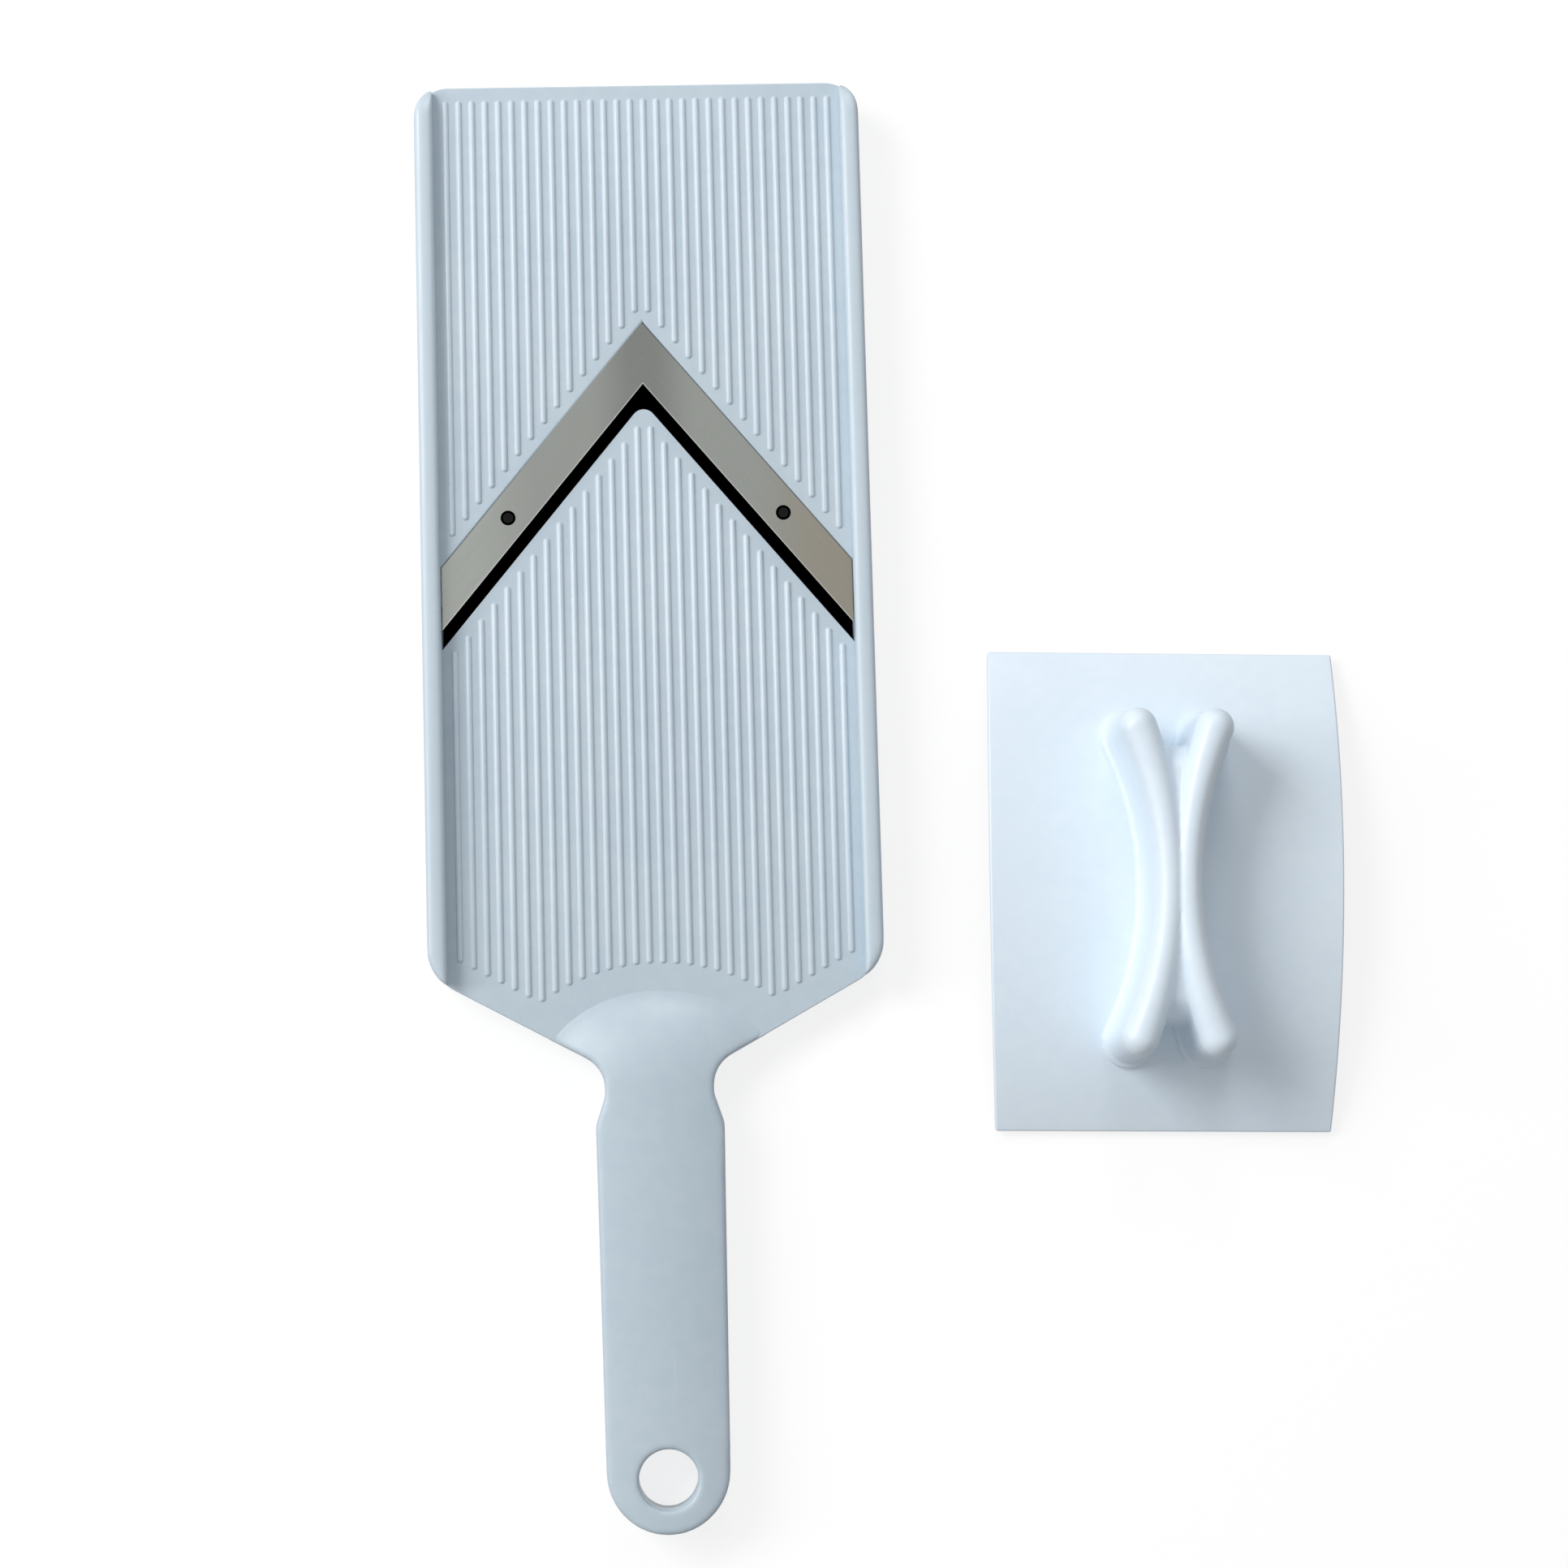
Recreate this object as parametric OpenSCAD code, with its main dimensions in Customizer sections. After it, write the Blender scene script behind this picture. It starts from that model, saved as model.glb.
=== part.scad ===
// Cabbage grater: a board with a V blade and a handle, and a loose hand guard that lies beside it.
// Millimetres. +Z is up, +Y runs from the handle to the far edge of the board.
// The origin is the centre of the hanging hole, on the table.

/* [Board] */
// Width over both rails
board_w = 125.4; // [115:0.1:140]
// Far edge of the board to the line where its sides would meet the sloping lower edges
board_l = 251; // [230:0.1:270]
// Radius of the two far corners
far_corner_r = 9; // [6:0.5:14]
// Radius of the two corners next to the handle
near_corner_r = 12; // [9:0.5:16]
// Slope of the lower edges, from square across
lower_edge_angle = 28.5; // [22:0.5:34]
// Wall of the skirt and of the hollow handle
wall = 3; // [2.4:0.1:3.6]
// Width of a rail
rail_w = 5.3; // [4.5:0.1:7]
// Height of the rails above the table
rail_h = 16; // [15:0.1:20]
// Rounding along the top of a rail
rail_round = 2.2; // [1:0.1:2.5]
// Length over which the rails fall to their far ends
rail_end_l = 9; // [6:0.5:12]
// Fall of the rails at their far ends
rail_end_drop = 4; // [2:0.1:4.4]
// Thickness of both plates
plate_t = 2.6; // [2.2:0.1:3.2]
// Height of the far plate, behind the blade
outfeed_h = 11.5; // [10.8:0.1:13]
// Drop from the far plate to the near plate
slice_drop = 2.2; // [1.6:0.1:2.6]
// Thickness of the cross ribs under the plates
stiffener_t = 2; // [1.5:0.1:3]
// Room under the cross ribs
stiffener_clear = 3; // [2:0.1:4]

/* [Handle] */
// Hanging hole to the line of the board's lower corners
handle_reach = 137.4; // [132:0.1:150]
// Hanging hole to the rounded end
hole_to_end = 14.7; // [13:0.1:16]
// Hanging hole to the shoulder below the neck
hole_to_shoulder = 95.6; // [88:0.1:97]
// Width at the shoulder
handle_w = 35.2; // [33:0.1:38]
// Width at the rounded end
handle_end_w = 33.5; // [32:0.1:36]
// Width of the neck
neck_w = 29.8; // [26:0.1:31]
// Fillet between the neck and the lower edges
neck_fillet_r = 10; // [7:0.5:11]
// Length of the slope from a shoulder to the neck
shoulder_l = 8; // [5:0.5:9]
// Rounding of the shoulders
shoulder_r = 6; // [2:0.5:8]
// Height of the crowned top
handle_h = 16; // [14.5:0.1:19]
// Radius of the crown across the handle
crown_r = 75; // [60:1:100]
// Length over which the handle rolls down into the near plate
root_l = 24.6; // [20:0.1:30]
// Where that roll begins, past the shoulder
root_gap = 13.6; // [11:0.1:15]
// Diameter of the hanging hole
hang_hole_d = 16.2; // [14:0.1:17]
// Chamfer round the top of the hanging hole
hang_rim = 1.2; // [0.6:0.1:1.6]
// Webs across the hollow handle
handle_webs = 2; // [1:1:3]

/* [Ribs] */
// Ribs across each plate
rib_count = 30; // [24:2:30]
// Spacing of the ribs
rib_pitch = 3.72; // [3.4:0.01:3.75]
// Width of a rib, which is round
rib_w = 2; // [1.4:0.1:2.4]
// How far the middle of a rib lies below the plate's top
rib_sink = 0.35; // [0.1:0.05:0.5]
// Plain border at the far edge
far_border = 3.8; // [3:0.1:8]
// Plain border beside the blade and the throat, along the ribs
blade_border = 4.5; // [3:0.1:8]
// Plain border above the lower edges, along the ribs
lower_border = 8.5; // [6:0.1:12]
// Plain border in front of the handle's root
root_border = 5.8; // [4:0.1:9]
// Radius of the arch that the ribs leave in front of the handle's root
rib_arch_r = 56; // [48:1:80]

/* [Blade] */
// Width of the steel strip
blade_w = 11.2; // [10:0.1:13]
// Thickness of the steel
blade_t = 1; // [0.8:0.1:1.2]
// Angle between the two legs
v_angle = 79.4; // [74:0.1:86]
// Lower corners of the board to the tip of the cutting edge
edge_reach = 164.8; // [158:0.1:172]
// Width of the ground bevel underneath
bevel_w = 1.6; // [1:0.1:2.2]
// Thickness left at the cutting edge
edge_t = 0.15; // [0.1:0.05:0.3]
// Part of the strip that stands over the throat
overhang = 4.5; // [3.8:0.1:4.8]
// Open width of the throat in front of the cutting edge
throat_gap = 3.1; // [2.4:0.1:3.4]
// Rounding of the near plate's tip
lip_r = 3.5; // [2:0.1:5]
// Gap round the blade in its seat
seat_clear = 0.3; // [0.2:0.05:0.4]

/* [Rivets] */
// Rivet to the centre line of the board
rivet_x = 38.4; // [30:0.1:44]
// Diameter of the countersunk head
rivet_head_d = 4; // [3.6:0.1:4.4]
// Diameter of the shank
rivet_d = 2.6; // [2.2:0.1:3]
// Height of the countersunk head
rivet_head_h = 0.7; // [0.5:0.05:0.75]
// Gap round the rivets
rivet_clear = 0.1; // [0.05:0.05:0.2]
// Diameter of the lug under each rivet
lug_d = 8; // [7:0.1:8.6]
// Height of the lug below the blade
lug_h = 4; // [3:0.1:4.5]
// Diameter of the washer
washer_d = 6.4; // [5.6:0.1:7]
// Thickness of the washer
washer_t = 0.6; // [0.5:0.1:1]
// Diameter of the formed tail
tail_d = 4.8; // [4.2:0.1:5.4]
// Height of the formed tail
tail_h = 1.4; // [1:0.1:1.8]

/* [Guard] */
// Centre of the guard to the board's centre line
guard_x = 141.7; // [130:0.1:160]
// Centre of the guard past the hanging hole
guard_y = 156.8; // [140:0.1:190]
// Turn of the guard as it lies
guard_turn = -1.8; // [-3:0.1:3]
// Width where the sides swell most
guard_w = 98.7; // [85:0.1:106]
// Length of the plate
guard_l = 134.4; // [120:0.1:145]
// Thickness of the plate
guard_t = 2.5; // [2:0.1:3.2]
// Rise of the arch from its end edges to its crown
arch_rise = 12; // [9:0.1:16]
// Radius of the swelling sides
guard_side_r = 1500; // [900:10:2500]
// Widest place past the middle
guard_widest = 20; // [0:1:30]
// Length of the teeth under the plate
tooth_l = 3.5; // [2.5:0.1:4.5]
// Diameter of a tooth at its root
tooth_d = 3.6; // [3:0.1:4.5]
// Spacing of the teeth across and along the plate
tooth_pitch = 22; // [18:0.5:24]

/* [Grip] */
// Width of each curved bar at its ends
bar_w = 10.4; // [9.2:0.1:11]
// Width of each curved bar at the waist
waist_w = 8.4; // [6.8:0.1:9]
// Radius of the bars' curve
bar_r = 113.6; // [105:0.1:140]
// Length of the grip over its round ends
grip_l = 95; // [84:0.1:100]
// Distance between the middles of the two bars at the waist
waist = 4.8; // [4:0.1:7]
// Height of the grip above the crown of the plate
grip_h = 24; // [20:0.1:30]
// Length of the web that fills the valley between the bars
web_l = 76; // [70:0.5:80]
// Top of the web below the top of the grip, in the middle
web_drop = 0.9; // [0.7:0.1:2]
// Further drop of the web to its ends
web_fall = 5; // [4:0.1:8]
// Rounding of the ends of the web's top
web_end_r = 7; // [5:0.5:9]
// Width of the flange round the foot
flange_w = 2.4; // [1.8:0.1:3]
// Thickness of the flange
flange_t = 2; // [1.5:0.1:2.6]
// Distance between the two screws
screw_spacing = 24; // [18:0.5:28]
// Diameter of a screw's shank
screw_d = 3.5; // [3:0.1:4]
// Diameter of a screw's head
screw_head_d = 6.8; // [6:0.1:7.4]
// Height of a screw's head
screw_head_h = 2.2; // [1.8:0.1:2.6]
// Length of a screw inside the grip
screw_grip_l = 14; // [10:0.5:16]
// Gap round the screws in the plate
screw_clear = 0.25; // [0.15:0.05:0.4]
// Flat seat under each screw head, measured out from the head
spot_margin = 1.5; // [1:0.1:2]

/* [Hidden] */
$fn = 96;
// Overlap that makes pieces of one solid join, and cuts run past faces
lap = 0.5;
// Larger than any outline
far = 500;

// Heights
infeed_h = outfeed_h - slice_drop;
seat_z = outfeed_h - blade_t;
lug_z = seat_z - lug_h;
root_drop = handle_h - infeed_h;
rail_end_r = (rail_end_l * rail_end_l + rail_end_drop * rail_end_drop) / (2 * rail_end_drop);

// Places along the board
corner_y = handle_reach;
far_y = corner_y + board_l;
shoulder_y = hole_to_shoulder;
shoulder_heading = 180 - atan2(shoulder_l, (handle_w - neck_w) / 2);
root_y = shoulder_y + root_gap;
end_y = handle_end_w / 2 - hole_to_end;
inner_x = board_w / 2 - rail_w;

// The handle's root rolls down on an arc that is level where it begins
root_r = (root_l * root_l + root_drop * root_drop) / (2 * root_drop);
root_angle = 55;
root_half_w = neck_w;
root_core_r = root_r / 4;

// The V: half its angle is measured from the board's centre line
v_half = v_angle / 2;
leg_turn = v_half - 90;
edge_y = corner_y + edge_reach;
function along_centre(across) = across / sin(v_half);
function v_y(apex_y, x) = apex_y - abs(x) / tan(v_half);
back_y = edge_y + along_centre(blade_w);
seat_back_y = edge_y + along_centre(blade_w + seat_clear);
ledge_y = edge_y + along_centre(overhang);
lip_y = edge_y - along_centre(throat_gap);
rivet_y = v_y(edge_y + along_centre(blade_w / 2), rivet_x);
blade_end_x = inner_x - seat_clear;

// Where the ribs end
rib_r = rib_w / 2;
root_tip_y = root_y + root_l;
function lower_edge_y(x) = corner_y - (board_w / 2 - abs(x)) * tan(lower_edge_angle);
function arch_y(x) = abs(x) < rib_arch_r
    ? root_tip_y + root_border - rib_arch_r + sqrt(rib_arch_r * rib_arch_r - x * x) : 0;
function rib_near_y(x) = max(lower_edge_y(x) + lower_border, arch_y(x));
rib_xs = [for (i = [0 : rib_count - 1]) (i - (rib_count - 1) / 2) * rib_pitch];

// Cross ribs under the near plate and under the far plate
near_span = v_y(lip_y, inner_x) - corner_y;
near_stiffeners = [corner_y + near_span / 3, corner_y + 2 * near_span / 3];
far_span = far_y - back_y;
far_stiffeners = [back_y + far_span / 3, back_y + 2 * far_span / 3];

// Guard: the underside of the arch meets the table at both end edges
arch_r = (guard_l * guard_l / 4 + arch_rise * arch_rise) / (2 * arch_rise);
arch_z = arch_rise - arch_r;
function under_z(y) = arch_z + sqrt(arch_r * arch_r - y * y);
crown_z = arch_rise + guard_t;
grip_top = crown_z + grip_h;
tooth_places = [for (i = [-1.5 : 1.5]) i * tooth_pitch];
tooth_tip_d = 0.8;

// Grip: each bar's curve is centred far out on its own side
bar_top_extra = 1.1;
bar_top_r = bar_w / 2 + bar_top_extra;
bar_centre = waist / 2 + bar_r;
bar_half_angle = asin((grip_l - bar_w) / 2 / bar_r);
bar_end_margin = 5;
bar_end_extra = 0.06;
bar_end = [bar_centre - bar_r * cos(bar_half_angle), bar_r * sin(bar_half_angle)];
// Circles through a bar's sides: at the waist and at the bar's ends
function side_r(sag) = (bar_end.y * bar_end.y + sag * sag) / (2 * sag);
bar_in_x = (waist - waist_w) / 2;
bar_out_x = (waist + waist_w) / 2;
bar_in_r = side_r(bar_end.x - bar_w / 2 - bar_in_x);
bar_out_r = side_r(bar_end.x + bar_w / 2 - bar_out_x);
web_r = (web_l * web_l / 4 + web_fall * web_fall) / (2 * web_fall);
web_z = grip_top - web_drop - web_r;
web_end_z = grip_top - web_drop - web_fall;
web_slope = asin(web_l / 2 / web_r);
screw_ys = [-screw_spacing / 2, screw_spacing / 2];
spot_r = screw_head_d / 2 + spot_margin;
spot_drop = 0.3;
spot_z = under_z(screw_spacing / 2 + spot_r) - spot_drop;
screw_end_room = 0.5;

plastic = [0.76, 0.83, 0.88];
guard_plastic = [0.86, 0.92, 0.97];
steel = [0.6, 0.62, 0.6];
dark_steel = [0.08, 0.08, 0.08];

// Direction of an angle in the plan
function heading(a) = [cos(a), sin(a)];

// Area between a corner and the arc that rounds it; a1 and a2 are the headings of its two edges
module corner_area(p, a1, a2, r) {
    turn = abs(a2 - a1) / 2;
    middle = heading((a1 + a2) / 2);
    centre = p + middle * r / sin(turn);
    run = r / tan(turn);
    difference() {
        polygon([p - middle * r, p + heading(a1) * run, centre, p + heading(a2) * run]);
        translate(centre) circle(r);
    }
}

// Draws its children on the right and mirrored on the left
module both_sides() {
    children();
    mirror([1, 0, 0]) children();
}

// Plan of the board and handle, drawn in by an inset all round
module outline(inset = 0) {
    half_w = board_w / 2 - inset;
    top = far_y - inset;
    corner = corner_y + inset / cos(lower_edge_angle) - inset * tan(lower_edge_angle);
    neck = neck_w / 2 - inset;
    neck_y = corner - (half_w - neck) * tan(lower_edge_angle);
    shoulder = shoulder_y - inset;
    grip_half = handle_w / 2 - inset;
    end_half = handle_end_w / 2 - inset;
    right = [
        [half_w, top], [half_w, corner], [neck, neck_y], [neck, shoulder + shoulder_l],
        [grip_half, shoulder], [end_half, end_y]
    ];
    left = [for (i = [len(right) - 1 : -1 : 0]) [-right[i].x, right[i].y]];
    difference() {
        union() {
            polygon(concat(right, left));
            translate([0, end_y]) circle(end_half);
            both_sides() corner_area([neck, neck_y], lower_edge_angle, -90, neck_fillet_r + inset);
        }
        both_sides() {
            corner_area([half_w, top], 180, 270, far_corner_r - inset);
            corner_area([half_w, corner], 90, 180 + lower_edge_angle, near_corner_r - inset);
            if (inset == 0) corner_area([grip_half, shoulder], shoulder_heading, 270, shoulder_r);
        }
    }
}

// Everything nearer the handle than a V with its tip at apex_y, and everything beyond it
module near_side(apex_y) {
    polygon([[0, apex_y], [far, v_y(apex_y, far)], [far, -far], [-far, -far], [-far, v_y(apex_y, far)]]);
}

module far_side(apex_y) {
    polygon([[0, apex_y], [far, v_y(apex_y, far)], [far, far], [-far, far], [-far, v_y(apex_y, far)]]);
}

// Crowned top of the handle with its roll into the board, drawn in by an inset
module crown_body(inset = 0) {
    translate([0, -far, handle_h - crown_r]) rotate([-90, 0, 0])
        cylinder(h = far + root_y, r = crown_r - inset);
    translate([0, root_y, handle_h - root_r]) rotate([0, -90, 0])
        rotate_extrude(angle = root_angle) intersection() {
            translate([root_r - crown_r, 0]) circle(crown_r - inset);
            translate([root_core_r, -root_half_w]) square([root_r, 2 * root_half_w]);
        }
}

module rail_section() {
    outer = board_w / 2;
    difference() {
        translate([inner_x, 0]) square([rail_w, rail_h]);
        corner_area([outer, rail_h], 180, 270, rail_round);
        corner_area([inner_x, rail_h], -90, 0, rail_round);
    }
}

// Rails from the side: level, with a rounded fall at the far end
module rail_side() {
    difference() {
        square([far_y, rail_h]);
        difference() {
            translate([far_y - rail_end_l, rail_h - rail_end_drop])
                square([rail_end_l + lap, rail_end_drop + lap]);
            translate([far_y - rail_end_l, rail_h - rail_end_r]) circle(rail_end_r);
        }
    }
}

module rails() {
    intersection() {
        linear_extrude(rail_h) outline();
        both_sides() translate([0, far_y, 0]) rotate([90, 0, 0])
            linear_extrude(board_l + handle_reach) rail_section();
        translate([-board_w / 2, 0, 0]) rotate([90, 0, 90]) linear_extrude(board_w) rail_side();
    }
}

module skirt() {
    linear_extrude(infeed_h) difference() {
        outline();
        outline(wall);
    }
}

module near_plate() {
    translate([0, 0, infeed_h - plate_t]) linear_extrude(plate_t) difference() {
        intersection() {
            outline();
            near_side(lip_y);
        }
        corner_area([0, lip_y], 270 - v_half, 270 + v_half, lip_r);
    }
}

module far_plate() {
    difference() {
        translate([0, 0, outfeed_h - plate_t]) linear_extrude(plate_t) intersection() {
            outline();
            far_side(ledge_y);
        }
        translate([0, 0, seat_z]) linear_extrude(blade_t + lap) intersection() {
            near_side(seat_back_y);
            translate([-inner_x, 0]) square([2 * inner_x, far]);
        }
    }
}

// Lugs that carry the rivets under the blade
module rivet_lugs() {
    both_sides() translate([rivet_x, rivet_y, lug_z]) cylinder(h = lug_h, d = lug_d);
}

module stiffener(y, top) {
    translate([-inner_x - lap, y - stiffener_t / 2, stiffener_clear])
        cube([2 * inner_x + 2 * lap, stiffener_t, top - stiffener_clear]);
}

module stiffeners() {
    for (y = near_stiffeners) stiffener(y, infeed_h - plate_t / 2);
    for (y = far_stiffeners) stiffener(y, outfeed_h - plate_t / 2);
}

// Webs and the sleeve of the hanging hole, inside the hollow handle
module handle_core() {
    intersection() {
        linear_extrude(handle_h) outline();
        crown_body();
        union() {
            cylinder(h = handle_h, d = hang_hole_d + 2 * wall);
            for (i = [1 : handle_webs])
                translate([-handle_w / 2, i * shoulder_y / (handle_webs + 1), 0])
                    cube([handle_w, stiffener_t, handle_h]);
        }
    }
}

module hang_hole() {
    rim_z = handle_h - hang_rim;
    translate([0, 0, -lap]) cylinder(h = handle_h + 2 * lap, d = hang_hole_d);
    translate([0, 0, rim_z]) cylinder(h = 2 * hang_rim, d1 = hang_hole_d, d2 = hang_hole_d + 4 * hang_rim);
}

// Round rib with round ends, half sunk into a plate, lying along the board from y1 to y2
module rib(x, y1, y2, z) {
    translate([x, y1, z]) rotate([-90, 0, 0]) rotate_extrude() intersection() {
        union() {
            translate([0, rib_r]) circle(rib_r);
            translate([-rib_r, rib_r]) square([rib_w, y2 - y1 - rib_w]);
            translate([0, y2 - y1 - rib_r]) circle(rib_r);
        }
        square([rib_r, y2 - y1]);
    }
}

module ribs() {
    for (x = rib_xs) {
        rib(x, rib_near_y(x), v_y(lip_y, x) - blade_border, infeed_h - rib_sink);
        rib(x, v_y(back_y, x) + blade_border, far_y - far_border, outfeed_h - rib_sink);
    }
}

module board() {
    color(plastic) difference() {
        union() {
            difference() {
                union() {
                    skirt();
                    near_plate();
                    intersection() {
                        translate([0, 0, infeed_h - plate_t]) linear_extrude(handle_h) outline();
                        crown_body();
                    }
                }
                intersection() {
                    translate([0, 0, -lap]) linear_extrude(handle_h) outline(wall);
                    crown_body(wall);
                }
            }
            far_plate();
            rails();
            stiffeners();
            rivet_lugs();
            handle_core();
            ribs();
        }
        hang_hole();
        both_sides() translate([rivet_x, rivet_y, 0])
            cylinder(h = rail_h, d = rivet_d + 2 * rivet_clear);
    }
}

// One leg of the blade, from the centre line to its end at the rail
module blade_leg() {
    intersection() {
        translate([0, edge_y, seat_z]) rotate(leg_turn) translate([-blade_w * 2, 0, 0])
            rotate([90, 0, 90]) linear_extrude(board_w + blade_w * 2) polygon([
                [0, blade_t - edge_t], [bevel_w, 0], [blade_w, 0], [blade_w, blade_t], [0, blade_t]
            ]);
        cube([blade_end_x, far, far]);
    }
}

module v_blade() {
    color(steel) difference() {
        both_sides() blade_leg();
        both_sides() translate([rivet_x, rivet_y, outfeed_h]) {
            translate([0, 0, -rail_h]) cylinder(h = rail_h + lap, d = rivet_d + 2 * rivet_clear);
            translate([0, 0, -rivet_head_h])
                cylinder(h = rivet_head_h, d1 = rivet_d + 2 * rivet_clear,
                         d2 = rivet_head_d + 2 * rivet_clear);
        }
    }
}

module blade_rivets() {
    tail_z = lug_z - washer_t - tail_h;
    color(dark_steel) both_sides() translate([rivet_x, rivet_y, 0]) {
        translate([0, 0, outfeed_h - rivet_head_h])
            cylinder(h = rivet_head_h, d1 = rivet_d, d2 = rivet_head_d);
        translate([0, 0, tail_z]) cylinder(h = outfeed_h - rivet_head_h - tail_z, d = rivet_d);
        translate([0, 0, tail_z]) cylinder(h = tail_h, d1 = (tail_d + rivet_d) / 2, d2 = tail_d);
    }
}

module rivet_washers() {
    color(steel) both_sides() translate([rivet_x, rivet_y, lug_z - washer_t]) difference() {
        cylinder(h = washer_t, d = washer_d);
        translate([0, 0, -lap]) cylinder(h = washer_t + 2 * lap, d = rivet_d + 2 * rivet_clear);
    }
}

// Places the guard where it lies on the table
module guard_place() {
    translate([guard_x, guard_y, 0]) rotate(guard_turn) children();
}

// Cylinder across the guard whose top follows the arch, a height above its underside
module arch_cylinder(height) {
    translate([-guard_w, 0, arch_z]) rotate([0, 90, 0])
        cylinder(h = 2 * guard_w, r = arch_r + height, $fn = 360);
}

module guard_outline() {
    intersection() {
        square([2 * guard_w, guard_l], center = true);
        translate([guard_w / 2 - guard_side_r, guard_widest]) circle(guard_side_r, $fn = 720);
        translate([guard_side_r - guard_w / 2, guard_widest]) circle(guard_side_r, $fn = 720);
    }
}

module guard_plate() {
    color(guard_plastic) guard_place() difference() {
        union() {
            difference() {
                intersection() {
                    linear_extrude(crown_z + lap) guard_outline();
                    arch_cylinder(guard_t);
                }
                arch_cylinder(0);
            }
            for (x = tooth_places, y = tooth_places)
                translate([x, y, under_z(y) - tooth_l])
                    cylinder(h = tooth_l + lap, d1 = tooth_tip_d, d2 = tooth_d);
            for (y = screw_ys) translate([0, y, spot_z])
                cylinder(h = crown_z - guard_t / 2 - spot_z, r = spot_r);
        }
        for (y = screw_ys) translate([0, y, 0]) cylinder(h = grip_top, d = screw_d + 2 * screw_clear);
    }
}

// Two bars back to back in plan, wider at their ends than at the waist and grown all round
module bars_plan(grow) {
    both_sides() {
        intersection() {
            difference() {
                translate([bar_in_x + bar_in_r, 0]) circle(bar_in_r + grow, $fn = 360);
                translate([bar_out_x + bar_out_r, 0]) circle(bar_out_r - grow, $fn = 360);
            }
            translate([-grip_l, -bar_end.y]) square([grip_l + bar_end.x + bar_w, 2 * bar_end.y]);
        }
        for (y = [-bar_end.y, bar_end.y]) translate([bar_end.x, y]) circle(bar_w / 2 + bar_end_extra + grow);
    }
}

// Web from the side: a top that falls towards its rounded ends
module web_side() {
    difference() {
        intersection() {
            translate([-web_l / 2, 0]) square([web_l, grip_top]);
            translate([0, web_z]) circle(web_r, $fn = 360);
        }
        corner_area([web_l / 2, web_end_z], 180 - web_slope, 270, web_end_r);
        corner_area([-web_l / 2, web_end_z], web_slope, -90, web_end_r);
    }
}

// Web between the middles of the bars
module grip_web() {
    intersection() {
        linear_extrude(grip_top) difference() {
            square([2 * bar_end.x, web_l], center = true);
            both_sides() translate([bar_centre, 0]) circle(bar_r, $fn = 360);
        }
        translate([-2 * bar_end.x, 0, 0]) rotate([90, 0, 90]) linear_extrude(4 * bar_end.x) web_side();
    }
}

// Crowned top over one bar, a little wider and longer than the bar
module bar_crown() {
    sweep = bar_half_angle + bar_end_margin;
    translate([bar_centre, 0, 0]) rotate(180 - sweep)
        rotate_extrude(angle = 2 * sweep, $fn = 360) translate([bar_r, 0]) {
            translate([-bar_top_r, 0]) square([2 * bar_top_r, grip_top - bar_top_r]);
            translate([0, grip_top - bar_top_r]) circle(bar_top_r);
        }
}

module guard_grip() {
    color(guard_plastic) guard_place() difference() {
        union() {
            intersection() {
                linear_extrude(grip_top) bars_plan(0);
                both_sides() bar_crown();
            }
            intersection() {
                linear_extrude(grip_top) bars_plan(flange_w);
                arch_cylinder(guard_t + flange_t);
            }
            grip_web();
        }
        arch_cylinder(guard_t);
        for (y = screw_ys) translate([0, y, 0])
            cylinder(h = crown_z + screw_grip_l + screw_end_room, d = screw_d);
    }
}

module grip_screws() {
    color(steel) guard_place() for (y = screw_ys) translate([0, y, spot_z - screw_head_h]) {
        cylinder(h = screw_head_h, d = screw_head_d);
        cylinder(h = crown_z + screw_grip_l - spot_z + screw_head_h, d = screw_d);
    }
}

board();
v_blade();
blade_rivets();
rivet_washers();
guard_plate();
guard_grip();
grip_screws();
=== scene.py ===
import math

import bmesh
import bpy
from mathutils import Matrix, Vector


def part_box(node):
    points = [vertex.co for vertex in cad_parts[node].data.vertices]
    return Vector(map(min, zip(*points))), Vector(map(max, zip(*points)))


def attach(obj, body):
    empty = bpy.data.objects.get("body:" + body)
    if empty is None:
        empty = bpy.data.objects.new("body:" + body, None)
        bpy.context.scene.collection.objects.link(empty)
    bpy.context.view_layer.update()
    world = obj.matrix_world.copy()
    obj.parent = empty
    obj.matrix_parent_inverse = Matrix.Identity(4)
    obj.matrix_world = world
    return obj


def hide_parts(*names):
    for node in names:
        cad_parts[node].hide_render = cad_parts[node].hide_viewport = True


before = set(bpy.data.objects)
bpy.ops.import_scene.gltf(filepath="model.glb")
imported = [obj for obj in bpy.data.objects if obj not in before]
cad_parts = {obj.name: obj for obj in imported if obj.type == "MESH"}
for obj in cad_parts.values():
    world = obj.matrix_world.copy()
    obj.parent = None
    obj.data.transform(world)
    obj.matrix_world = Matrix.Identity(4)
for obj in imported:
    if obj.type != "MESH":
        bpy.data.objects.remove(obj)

bl_info = {
    "name": "Cabbage grater",
    "version": (1, 0, 0),
    "blender": (4, 5, 0),
    "location": "3D View > Sidebar > Grater",
    "description": "Models a V-blade cabbage grater and its loose hand guard over their construction frame",
    "category": "Object",
}

MM = 0.001
HAIR = 0.01 * MM  # below this, two places are the same
GAP = 0.1 * MM  # keeps faces that would fall together apart
SHARP = math.radians(40)  # steeper edges are rounded
SMOOTH = math.radians(35)  # flatter edges are shaded smooth
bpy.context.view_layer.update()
BOARD_LOW, BOARD_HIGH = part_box("board")
SCREWS_LOW, SCREWS_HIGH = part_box("grip_screws")
FINISHES = {}


# Settings

def length(name, description, millimetres):
    return bpy.props.FloatProperty(name=name, description=description, unit="LENGTH",
                                   default=millimetres * MM)


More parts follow.
